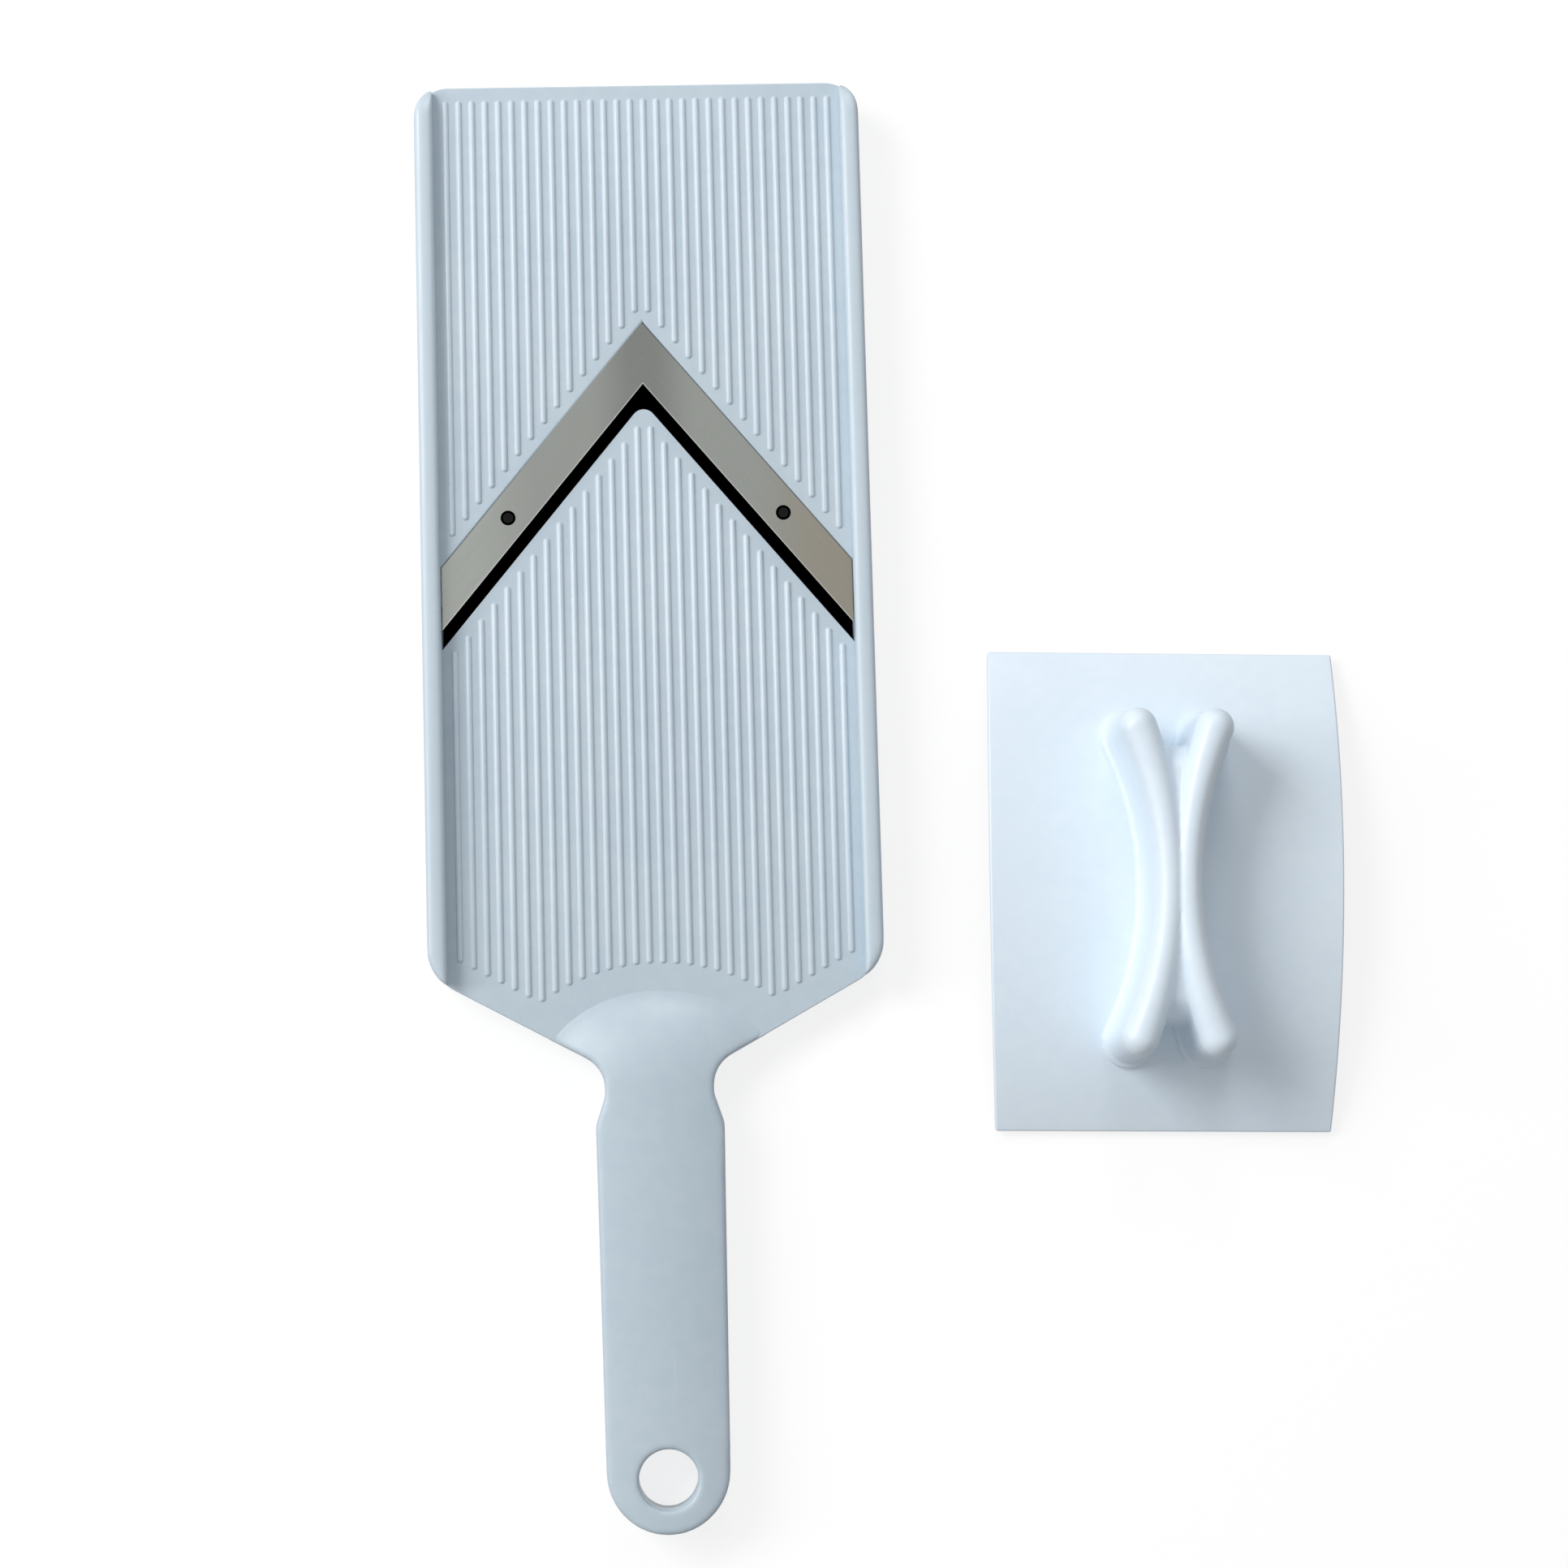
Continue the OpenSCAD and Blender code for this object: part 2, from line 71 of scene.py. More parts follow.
def angle(name, description, degrees):
    return bpy.props.FloatProperty(name=name, description=description, subtype="ANGLE",
                                   default=math.radians(degrees))


def place(name, description, *millimetres):
    return bpy.props.FloatVectorProperty(name=name, description=description, unit="LENGTH", size=3,
                                         default=[value * MM for value in millimetres])


def power(name, description, watts):
    return bpy.props.FloatProperty(name=name, description=description, unit="POWER", default=watts)


def colour(name, description, *value):
    return bpy.props.FloatVectorProperty(name=name, description=description, default=value, subtype="COLOR",
                                         size=3, min=0.0, max=1.0)


def share(name, description, value):
    return bpy.props.FloatProperty(name=name, description=description, default=value, subtype="FACTOR",
                                   min=0.0, max=1.0)


def count(name, description, value):
    return bpy.props.IntProperty(name=name, description=description, default=value, min=1)


class BoardSettings(bpy.types.PropertyGroup):
    rail_width: length("Rail width", "Width of each rail", 5.3)
    rail_voxel: length("Rail grain", "Grain of the mesh of the rails", 0.7)
    rail_rounds: count("Rail rounding", "Rounds of smoothing that round the rails", 22)
    rail_end: length("Rail ends", "Length over which the rails fall to their far ends", 9)
    rail_end_drop: length("Rail end drop", "Fall of the rails at their far ends", 4)
    tuck: length("Tuck", "How far the plates' sides lie inside the rails", 0.4)
    far_radius: length("Far corners", "Radius of the two far corners", 9)
    near_radius: length("Near corners", "Radius of the two corners next to the handle", 12)
    corner_y: length("Near corner place", "Where the sides would meet the sloping lower edges", 137.4)
    slope: angle("Lower edge slope", "Slope of the lower edges, from square across", 28.5)
    wall: length("Wall", "Thickness of the skirt", 3)
    plate: length("Plate", "Thickness of both plates", 2.6)
    near_top: length("Near plate height", "Top of the plate before the blade", 9.3)
    far_top: length("Far plate height", "Top of the plate behind the blade", 11.5)
    edge_y: length("Cutting edge place", "Apex of the cutting edge on the centre line", 302.2)
    v_half: angle("Half V", "Half the angle of the V", 39.7)
    ledge: length("Ledge", "Cutting edge to the edge of the far plate, square across the blade", 4.5)
    lip: length("Lip", "Cutting edge to the lip of the near plate, square across the blade", 3.1)
    lip_round: length("Lip rounding", "Rounding of the tip of the near plate", 3.5)
    seat: length("Seat", "Cutting edge to the back of the blade's seat", 11.5)
    seat_depth: length("Seat depth", "Depth of the blade's seat", 1)
    rib_thickness: length("Cross rib", "Thickness of the cross ribs underneath", 2)
    rib_low: length("Cross rib room", "Room under the cross ribs", 3)
    lug_radius: length("Lug radius", "Radius of the lugs that hold the rivets", 4)
    lug_height: length("Lug height", "Height of the lugs under the seat", 4)
    edge_round: length("Edge rounding", "Rounding of the plates' edges", 0.5)
    under_round: length("Underside rounding", "Rounding of the cross ribs and lugs", 0.3)


class HandleSettings(bpy.types.PropertyGroup):
    shoulder_y: length("Shoulder place", "Hanging hole to the shoulder", 95.6)
    shoulder_half: length("Half shoulder", "Half the width at the shoulder", 17.6)
    end_half: length("Half end", "Half the width at the rounded end", 16.75)
    neck_half: length("Half neck", "Half the width of the neck", 14.9)
    neck_fillet: length("Neck fillet", "Fillet between the neck and the lower edges", 10)
    shoulder_slope: length("Shoulder slope", "Length of the slope from a shoulder to the neck", 8)
    shoulder_round: length("Shoulder rounding", "Rounding of the shoulders", 6)
    crown: length("Crown radius", "Radius of the crown across the handle", 75)
    roll_y: length("Roll start", "Where the top begins to roll down into the near plate", 106)
    roll: length("Roll radius", "Radius of that roll", 48.5)
    mound_y: length("Mound centre", "Centre of the rounded root in plan", 93.8)
    mound: length("Mound radius", "Radius of the rounded root in plan", 40)
    overlap: length("Overlap", "How far the root runs on over the edge of the near plate", 5)
    meet: length("Meeting radius", "Radius at which the root sinks into the near plate", 37)
    sink: share("Sink", "Slope at which the root sinks into the near plate", 0.05)
    root_blend: length("Root blend", "Height over which the root blends into the near plate", 1.6)
    hole: length("Hole radius", "Radius of the hanging hole", 8.1)
    voxel: length("Grain", "Grain of the mesh of the handle", 0.7)
    rounds: count("Rounding", "Rounds of smoothing that round the handle's edges", 7)


class RibSettings(bpy.types.PropertyGroup):
    number: count("Ribs", "Ribs on each plate", 30)
    pitch: length("Pitch", "Spacing of the ribs", 3.72)
    width: length("Width", "Width of a rib", 2)
    sink: length("Sink", "How far the middle of a rib lies below the plate's top", 0.35)
    cut: share("Cut", "Share of a rib's radius that is kept below its middle", 0.3)
    far_border: length("Far border", "Plain border along the far edge", 3.8)
    blade_border: length("Blade border", "Plain border along the blade", 4.5)
    lower_border: length("Lower border", "Plain border along the lower edges", 8.5)
    arch: length("Arch radius", "Radius of the arch that the ribs leave round the root", 56)
    arch_y: length("Arch centre", "Centre of that arch", 83.6)


class GuardSettings(bpy.types.PropertyGroup):
    place: place("Place", "Where the guard lies", 141.7, 156.8, 0)
    turn: angle("Turn", "Turn of the guard as it lies", -1.8)
    width: length("Width", "Width where the sides swell most", 98.7)
    length: length("Length", "Length of the plate", 134.4)
    thickness: length("Thickness", "Thickness of the plate", 2.5)
    rise: length("Rise", "Rise of the arch", 12)
    side: length("Side radius", "Radius of the swelling sides", 1500)
    widest: length("Widest place", "Widest place past the middle", 20)
    edge_round: length("Edge rounding", "Rounding of the plate's edges", 0.6)
    teeth: count("Teeth", "Rows of teeth each way", 4)
    tooth: length("Tooth", "Length of a tooth under the plate", 3.5)
    tooth_root: length("Tooth root", "Radius of a tooth at its root", 1.8)
    tooth_tip: length("Tooth tip", "Radius of a tooth at its tip", 0.4)
    tooth_round: length("Tooth rounding", "Rounding of a tooth's tip", 0.2)
    tooth_pitch: length("Tooth pitch", "Spacing of the teeth", 22)
    bar_half: length("Half bar", "Half the width of a bar of the grip at its ends", 5.2)
    waist_half: length("Half bar at the waist", "Half the width of a bar at the waist", 4.2)
    bar: length("Bar radius", "Radius of the curve of a bar", 113.6)
    grip: length("Grip length", "Length of the grip over its round ends", 95)
    waist: length("Waist", "Distance between the middles of the bars at the waist", 4.8)
    web: length("Web", "Length of the web between the bars", 76)
    web_drop: length("Web drop", "Top of the web below the top of the grip, in the middle", 0.9)
    web_fall: length("Web fall", "Further drop of the web to its ends", 5)
    web_end: length("Web ends", "Rounding of the ends of the web's top", 7)
    grip_height: length("Grip height", "Height of the grip above the crown of the plate", 24)
    flange: length("Flange", "Reach of the flange round the foot of the grip", 2.4)
    flange_height: length("Flange height", "Height of that flange", 2)
    flange_fall: length("Flange fall", "Fall of the flange's top to its edge", 0.3)
    foot_sink: length("Foot sink", "How far the foot of the grip runs into the plate", 1)
    screw_half: length("Half screw spacing", "Half the spacing of the two screws", 12)
    screw_head: length("Screw head", "Radius of a screw's head", 3.4)
    screw_head_height: length("Screw head height", "Height of a screw's head", 2.2)
    screw_round: length("Screw rounding", "Rounding of the edges of a screw's head", 0.1)
    spot: length("Screw boss", "Radius of the boss that a screw bears on", 4.9)
    spot_round: length("Boss rounding", "Rounding of that boss", 0.4)
    voxel: length("Grain", "Grain of the mesh of the grip", 0.55)
    rounds: count("Rounding", "Rounds of smoothing that round the grip's edges", 4)


class FinishSettings(bpy.types.PropertyGroup):
    board: colour("Board", "Colour of the board's plastic", 0.54, 0.63, 0.70)
    board_shade: colour("Board shade", "Deeper tone in the board's plastic", 0.48, 0.58, 0.66)
    board_rough: share("Board roughness", "Roughness of the board", 0.36)
    board_grain: share("Board grain", "Strength of the board's moulded grain", 0.5)
    # Painted highlight: the ribs are coloured lighter than the board, standing in for the bright lines that
    # light draws along them
    rib: colour("Ribs", "Colour of the ribs, which are polished by use", 0.62, 0.71, 0.78)
    rib_shade: colour("Rib shade", "Deeper tone in the ribs", 0.56, 0.65, 0.73)
    rib_rough: share("Rib roughness", "Roughness of the ribs", 0.30)
    rib_grain: share("Rib grain", "Strength of the ribs' moulded grain", 0.3)
    # Painted highlight on the tops of the rails, in the ribs' colour
    rail_painted_highlight: share("Rail polish", "How far the tops of the rails take the colour of the ribs", 0.5)
    guard: colour("Guard", "Colour of the guard's plastic", 0.80, 0.90, 0.985)
    guard_shade: colour("Guard shade", "Deeper tone in the guard's plastic", 0.75, 0.86, 0.965)
    guard_rough: share("Guard roughness", "Roughness of the guard", 0.36)
    guard_grain: share("Guard grain", "Strength of the guard's moulded grain", 0.2)
    scuff: colour("Scuffs", "Colour of the hairlines in the plastic", 0.85, 0.90, 0.95)
    steel: colour("Blade", "Colour of the blade", 0.295, 0.309, 0.290)
    steel_warm: colour("Blade end", "Warmer tone at one end of the blade", 0.265, 0.228, 0.175)
    edge: colour("Blade edge", "Colour of the ground cutting edge", 0.80, 0.81, 0.79)
    black: colour("Rivets", "Colour of the rivets", 0.005, 0.005, 0.0055)
    zinc: colour("Zinc", "Colour of the washers and screws", 0.55, 0.55, 0.53)


class StageSettings(bpy.types.PropertyGroup):
    camera: place("Camera", "Place of the camera", -2.2, 83.1, 949.3)
    aim: bpy.props.FloatVectorProperty(name="Camera angles", description="Turns of the camera", size=3,
                                       subtype="EULER",
                                       default=[math.radians(a) for a in (6.46, -2.18, -1.60)])
    lens: bpy.props.FloatProperty(name="Lens", description="Focal length, in millimetres", default=78.26)
    sensor: bpy.props.FloatProperty(name="Sensor", description="Width of the sensor, in millimetres",
                                    default=36.0)
    floor: colour("Floor", "Colour of the floor", 0.25, 0.25, 0.25)
    floor_size: length("Floor size", "Width and depth of the floor", 8000)
    glow: share("Floor glow", "Light that the floor shows of itself, so that its shadows stay pale", 0.8)
    key: power("Key light", "Power of the light on the far left", 23.0)
    key_place: place("Key light place", "Place of the light on the far left", -1250, 1000, 1400)
    key_size: length("Key light size", "Width of the light on the far left", 900)
    low: power("Low light", "Power of the low light on the left", 8.0)
    low_place: place("Low light place", "Place of the low light on the left", -1800, 350, 920)
    low_size: length("Low light size", "Width of the low light on the left", 500)
    window: power("Window light", "Power of the light beyond the far edge", 2.5)
    window_place: place("Window light place", "Place of the light beyond the far edge", 120, 1150, 750)
    window_size: length("Window light size", "Width of the light beyond the far edge", 350)
    lit: place("Lit place", "Where all the lights point", 50, 200, 0)
    world: share("Surroundings", "Level of the light from all round", 0.36)


# Modelling by hand: selection, edit mode, modifiers

def only(*pieces):
    bpy.ops.object.select_all(action="DESELECT")
    for piece in pieces:
        piece.select_set(True)
    bpy.context.view_layer.objects.active = pieces[0]


def added(name):
    piece = bpy.context.object
    piece.name = name
    piece.data.name = name
    return piece


class editing:
    """Edit mode for one piece, as long as the block lasts."""

    def __init__(self, piece):
        self.piece = piece

    def __enter__(self):
        only(self.piece)
        bpy.ops.object.mode_set(mode="EDIT")
        return bmesh.from_edit_mesh(self.piece.data)

    def __exit__(self, *problem):
        bpy.ops.object.mode_set(mode="OBJECT")


def pick(mesh, kind, test):
    """Selects the vertices, edges or faces that pass the test."""
    bpy.ops.mesh.select_mode(type=kind)
    bpy.ops.mesh.select_all(action="DESELECT")
    for part in {"VERT": mesh.verts, "EDGE": mesh.edges, "FACE": mesh.faces}[kind]:
        if test(part):
            part.select_set(True)
    mesh.select_flush_mode()


def modify(piece, kind, **settings):
    only(piece)
    bpy.ops.object.modifier_add(type=kind)
    modifier = piece.modifiers[-1]
    for name, value in settings.items():
        setattr(modifier, name, value)
    bpy.ops.object.modifier_apply(modifier=modifier.name)
    return piece


def carve(piece, cutter, operation="DIFFERENCE"):
    modify(piece, "BOOLEAN", object=cutter, operation=operation, solver="EXACT")
    only(cutter)
    bpy.ops.object.delete()
    if not piece.data.polygons:
        raise RuntimeError(f"nothing is left of {piece.name}")
    return piece


def join(name, *pieces):
    only(*pieces)
    bpy.ops.object.join()
    return added(name)


def block(name, low, high):
    bpy.ops.mesh.primitive_cube_add(size=1, location=(low + high) / 2, scale=high - low)
    bpy.ops.object.transform_apply()
    return added(name)


def peg(name, x, y, low, high, radius, vertices=48):
    bpy.ops.mesh.primitive_cylinder_add(vertices=vertices, radius=radius, depth=high - low,
                                        location=(x, y, (low + high) / 2))
    bpy.ops.object.transform_apply()
    return added(name)


def prism(name, outline, low, high):
    """Upright solid over an outline: a filled circle drawn out to the outline and extruded."""
    bpy.ops.mesh.primitive_circle_add(vertices=len(outline), radius=MM, fill_type="NGON")
    piece = added(name)
    with editing(piece) as mesh:
        for vertex, point in zip(mesh.verts, outline):
            vertex.co = (point.x, point.y, low)
        bpy.ops.mesh.select_all(action="SELECT")
        bpy.ops.mesh.extrude_region_move(TRANSFORM_OT_translate={"value": (0, 0, high - low)})
        bpy.ops.mesh.select_all(action="SELECT")
        bpy.ops.mesh.normals_make_consistent(inside=False)
    return piece


def soften(piece, width, segments=2):
    """Rounds the sharp edges and smooths the faces between them."""
    modify(piece, "BEVEL", width=width, segments=segments, limit_method="ANGLE", angle_limit=SHARP)
    only(piece)
    bpy.ops.object.shade_smooth_by_angle(angle=SMOOTH)
    return modify(piece, "WEIGHTED_NORMAL", keep_sharp=True, weight=100)


def melt(piece, voxel, rounds, height=None):
    """One skin over all the joined solids, cut off at a height that may vary, with rounded edges."""
    modify(piece, "REMESH", mode="VOXEL", voxel_size=voxel)
    if height:
        with editing(piece) as mesh:
            for vertex in mesh.verts:
                vertex.co.z = min(vertex.co.z, height(vertex.co.y))
    modify(piece, "SMOOTH", factor=0.5, iterations=rounds)
    only(piece)
    bpy.ops.object.shade_smooth()
    return piece


def done(piece, body, node, material):
    piece.data.materials.clear()
    piece.data.materials.append(material)
    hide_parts(node)
    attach(piece, body)


def paint(node, material):
    """Gives a node of the frame, which keeps its shape, its finish."""
    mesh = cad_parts[node].data
    mesh.materials.clear()
    mesh.materials.append(material)


# Outlines in plan

def spread(steps, low, high):
    """Evenly spaced values from low to high."""
    return [low + (high - low) * k / steps for k in range(steps + 1)]


def rounded(corners, steps=10):
    """Closed outline through corners (x, y, radius), each corner drawn as an arc."""
    points = []
    for i, (x, y, radius) in enumerate(corners):
        here = Vector((x, y))
        if radius <= 0:
            points.append(here)
            continue
        back = (Vector(corners[i - 1][:2]) - here).normalized()
        on = (Vector(corners[(i + 1) % len(corners)][:2]) - here).normalized()
        half = back.angle(on) / 2
        centre = here + (back + on).normalized() * (radius / math.sin(half))
        first = here + back * (radius / math.tan(half)) - centre
        last = here + on * (radius / math.tan(half)) - centre
        start = math.atan2(first.y, first.x)
        turn = math.remainder(math.atan2(last.y, last.x) - start, 2 * math.pi)
        for k in range(steps + 1):
            a = start + turn * k / steps
            points.append(centre + radius * Vector((math.cos(a), math.sin(a))))
    return points


def clip(outline, place, normal):
    """The part of an outline behind the line through place, square to normal."""
    place, normal, kept = Vector(place), Vector(normal), []
    for i, here in enumerate(outline):
        last = outline[i - 1]
        a, b = (last - place).dot(normal), (here - place).dot(normal)
        if (a > 0) != (b > 0):
            kept.append(last + (here - last) * (a / (a - b)))
        if b <= 0:
            kept.append(here)
    return kept


def board_outline(s, inset=0.0):
    half = BOARD_HIGH.x - inset
    slope = math.tan(s.slope)
    corner = s.corner_y + inset * (1 / math.cos(s.slope) - slope)
    return rounded([
        (half, BOARD_HIGH.y - inset, s.far_radius - inset),
        (-half, BOARD_HIGH.y - inset, s.far_radius - inset),
        (-half, corner, s.near_radius - inset),
        (0, corner - half * slope, 0),
        (half, corner, s.near_radius - inset),
    ])


def v_apex(s, across):
    """Apex on the centre line of a V that lies across from the cutting edge."""
    return s.edge_y + across / math.sin(s.v_half)


def inside_v(s, outline, apex):
    for side in (1, -1):
        outline = clip(outline, (0, apex), (side * math.cos(s.v_half), math.sin(s.v_half)))
    return outline


def handle_outline(b, h, inset, mound):
    """Handle, neck and root in plan, counterclockwise from the right end of the root."""
    slope = math.tan(b.slope)
    low = b.corner_y - BOARD_HIGH.x * slope + inset / math.cos(b.slope)
    neck = h.neck_half - inset
    end_y = BOARD_LOW.y + h.end_half
    reach = math.acos((low - h.mound_y) * math.cos(b.slope) / mound) - b.slope
    arc = spread(32, reach, -reach)
    right = [
        (h.end_half - inset, end_y, 0),
        (h.shoulder_half - inset, h.shoulder_y - inset, h.shoulder_round),
        (neck, h.shoulder_y - inset + h.shoulder_slope, 0),
        (neck, low + neck * slope, h.neck_fillet),
    ]
    end, half = [math.radians(a) for a in range(190, 360, 10)], h.end_half - inset
    corners = [(mound * math.sin(a), h.mound_y + mound * math.cos(a), 0) for a in arc]
    corners += [(-x, y, r) for x, y, r in reversed(right)]
    corners += [(half * math.cos(a), end_y + half * math.sin(a), 0) for a in end]
    return rounded(corners + right)


# Finishes

class Value:
    """A shader socket that takes part in arithmetic."""

    def __init__(self, finish, socket):
        self.finish = finish
        self.socket = socket

    def math(self, operation, *others):
        return self.finish.add("ShaderNodeMath", {"operation": operation}, dict(enumerate((self, *others))))

    def __add__(self, other):
        return self.math("ADD", other)

    def __mul__(self, other):
        return self.math("MULTIPLY", other)

    def __sub__(self, other):
        return self.math("SUBTRACT", other)

    def __rsub__(self, other):
        return self * -1.0 + other

    __radd__ = __add__
    __rmul__ = __mul__

    def band(self, low, high, to_low=0.0, to_high=1.0):
        """Runs from to_low to to_high as the value goes from low to high."""
        return self.finish.add("ShaderNodeMapRange", {"interpolation_type": "SMOOTHSTEP"}, {
            "Value": self, "From Min": low, "From Max": high, "To Min": to_low, "To Max": to_high})


class Shading:
    """The nodes of a material or of the world."""

    def __init__(self, tree):
        self.tree = tree

    def feed(self, socket, value):
        if isinstance(value, Value):
            self.tree.links.new(value.socket, socket)
        else:
            socket.default_value = value

    def add(self, kind, settings=None, inputs=None, output=0):
        node = self.tree.nodes.new(kind)
        for name, value in (settings or {}).items():
            setattr(node, name, value)
        for name, value in (inputs or {}).items():
            self.feed(node.inputs[name], value)
        return Value(self, node.outputs[output])

    def outputs(self, kind, inputs=None):
        """All the outputs of a new node."""
        node = self.add(kind, {}, inputs).socket.node
        return {socket.name: Value(self, socket) for socket in node.outputs}

    def seen(self):
        """1 for what is looked at, also in a reflection, and 0 for what only gives light."""
        rays = self.outputs("ShaderNodeLightPath")
        direct = rays["Is Camera Ray"].math("MAXIMUM", rays["Is Glossy Ray"])
        return direct.math("MAXIMUM", rays["Is Transmission Ray"])


class Finish(Shading):
    """A material that is built up around one Principled shader."""

    def __init__(self, name, **constants):
        self.material = bpy.data.materials.new(name)
        self.material.use_nodes = True
        super().__init__(self.material.node_tree)
        self.shader = self.tree.nodes["Principled BSDF"]
        self.set(**constants)
        self.place = self.add("ShaderNodeTexCoord", output="Object")

    def set(self, **inputs):
        for name, value in inputs.items():
            self.feed(self.shader.inputs[name.replace("_", " ")], value)

    def noise(self, scale, detail=2.0, where=None, stretch=None):
        where = where or self.place
        if stretch:
            where = self.add("ShaderNodeMapping", {}, {"Vector": where, "Scale": stretch})
        return self.add("ShaderNodeTexNoise", {}, {"Vector": where, "Scale": scale, "Detail": detail})

    def streaks(self, detail, *axes):
        """Noise over axes that are scaled on their own, and so drawn out along the slower ones."""
        return self.noise(1.0, detail, self.add("ShaderNodeCombineXYZ", {}, dict(enumerate(axes))))

    def mix(self, factor, first, second):
        first, second = [c if isinstance(c, Value) else (*c, 1.0) for c in (first, second)]
        return self.add("ShaderNodeMix", {"data_type": "RGBA"}, {0: factor, 6: first, 7: second}, output=2)

    def bump(self, height, distance):
        return self.add("ShaderNodeBump", {}, {"Height": height, "Distance": distance, "Strength": 1.0})

    def axes(self):
        return list(self.outputs("ShaderNodeSeparateXYZ", {0: self.place}).values())


# Scales of the patterns, in cells per metre
CLOUDS, MOTTLE, WEAR, GLOSS, GRAIN, WAVES = 14.0, 240.0, 45.0, 70.0, 2200.0, 35.0
STAIN, BLOOM, PITS, SPANGLE = 60.0, 900.0, 3000.0, 700.0
HAIRLINES, TURNED = (1500.0, 22.0, 60.0), (300.0, 300.0, 5000.0)
# Depths of the finest relief
PLASTIC_RELIEF, BRUSH_RELIEF, METAL_RELIEF = 0.02 * MM, 0.006 * MM, 0.01 * MM
# Where tones of the blade begin and end: bevel and bright tip across a leg, the rest from the centre line;
# the darker apex and the lighter left end are painted reflection
BEVEL, TIP = (1.4 * MM, 1.7 * MM), (0.1 * MM, 0.4 * MM)
PAINTED_DARK_APEX, PAINTED_LIGHT_LEFT_END, RIGHT_END = (2 * MM, 16 * MM), (-50 * MM, -28 * MM), (28 * MM, 50 * MM)


def toned(tint, factor):
    """A colour made darker or lighter."""
    return [channel * factor for channel in tint]


def rail_tops(finish):
    """1 along the tops of the rails, where a painted highlight lightens them, and 0 on their flanks and on
    the handle.
    """
    b = bpy.context.scene.grater_board
    x, y, z = finish.axes()
    flank, top = b.far_top + 2 * MM, BOARD_HIGH.z - MM
    handle, rail = b.corner_y - 15 * MM, b.corner_y
    return z.band(flank, top) * y.band(handle, rail)


def plastic(f, name, tint, shade, rough, grain, painted_rail_highlight=False):
    """Moulded plastic: clouded tint, uneven gloss, fine hairlines along the board and a faint grain, and if
    asked a painted highlight on the tops of the rails.
    """
    finish = Finish(name, Specular_IOR_Level=0.5, IOR=1.47)
    clouds = finish.noise(CLOUDS, 3.0).band(0.3, 0.7)
    mottle = finish.noise(MOTTLE, 2.0).band(0.35, 0.65)
    hairs = finish.noise(1.0, 3.0, stretch=HAIRLINES).band(0.62, 0.74)
    worn = finish.noise(WEAR, 3.0).band(0.45, 0.7)
    gloss = finish.noise(GLOSS, 3.0).band(0.3, 0.7, rough - 0.04, rough + 0.06)
    scuffs = hairs * worn
    base = finish.mix(clouds * 0.6 + mottle * 0.3, tint, shade)
    # Painted highlight: the tops of the rails take on the ribs' lighter colour
    if painted_rail_highlight:
        base = finish.mix(rail_tops(finish) * f.rail_painted_highlight, base, f.rib)
    relief = finish.noise(GRAIN, 1.0) * grain + finish.noise(WAVES, 1.0) * 2.0 - scuffs * 0.3
    finish.set(Base_Color=finish.mix(scuffs * 0.12, base, f.scuff),
               Roughness=gloss + scuffs * 0.12,
               Normal=finish.bump(relief, PLASTIC_RELIEF))
    return finish.material


def blade_finish(f, b):
    """Satin steel, brushed along each leg, with a brighter ground bevel, a painted reflection that darkens
    the apex and lightens the left end, and a warmer right end.
    """
    finish = Finish("blade_steel", Metallic=1.0)
    x, y, z = finish.axes()
    out = x.math("ABSOLUTE")
    along = out * math.sin(b.v_half) - (y - b.edge_y) * math.cos(b.v_half)
    across = out * math.cos(b.v_half) + (y - b.edge_y) * math.sin(b.v_half)
    lines = finish.streaks(3.0, along * 30.0, across * 2600.0, z * 900.0)
    grind = finish.streaks(2.0, along * 3200.0, across * 60.0)
    stain = finish.noise(STAIN, 4.0).band(0.42, 0.72)
    below = z.band(b.far_top - 2 * GAP, b.far_top - GAP, 1.0, 0.0)
    bevel = across.band(*BEVEL, 1.0, 0.0) * below
    tip = across.band(*TIP, 1.0, 0.0)
    body = finish.mix(lines.band(0.25, 0.75) * 0.5 + stain * 0.25, f.steel, toned(f.steel, 0.74))
    # Painted reflection: darker towards the apex, lighter at the left end
    body = finish.mix(out.band(*PAINTED_DARK_APEX, 0.70, 0.0), body, toned(f.steel, 0.55))
    body = finish.mix(x.band(*PAINTED_LIGHT_LEFT_END, 0.45, 0.0), body, toned(f.steel, 1.3))
    body = finish.mix(x.band(*RIGHT_END, 0.0, 0.6), body, f.steel_warm)
    ground = finish.mix(grind.band(0.3, 0.7) * 0.5, f.edge, f.steel)
    finish.set(Base_Color=finish.mix(bevel * 0.55 + tip * 0.45, body, ground),
               Roughness=lines.band(0.2, 0.8, 0.22, 0.34) + stain * 0.05 - bevel * 0.06,
               Normal=finish.bump(lines * (1.0 - bevel) + grind * bevel, BRUSH_RELIEF))
    return finish.material


def dark_finish(f):
    """Blackened steel with a faint bloom."""
    finish = Finish("dark_steel", Specular_IOR_Level=0.08)
    bloom = finish.noise(BLOOM, 3.0).band(0.45, 0.75)
    finish.set(Base_Color=finish.mix(bloom * 0.5, f.black, toned(f.black, 2.5)),
               Roughness=bloom * 0.15 + 0.5,
               Normal=finish.bump(finish.noise(PITS, 2.0), METAL_RELIEF))
    return finish.material


def zinc_finish(f):
    """Zinc plating, cloudy and turned fine."""
    finish = Finish("plain_steel", Metallic=1.0)
    clouds = finish.noise(SPANGLE, 4.0).band(0.35, 0.7)
    finish.set(Base_Color=finish.mix(clouds, f.zinc, toned(f.zinc, 0.78)),
               Roughness=clouds * 0.14 + 0.28,
               Normal=finish.bump(finish.noise(1.0, 2.0, stretch=TURNED), METAL_RELIEF))
    return finish.material


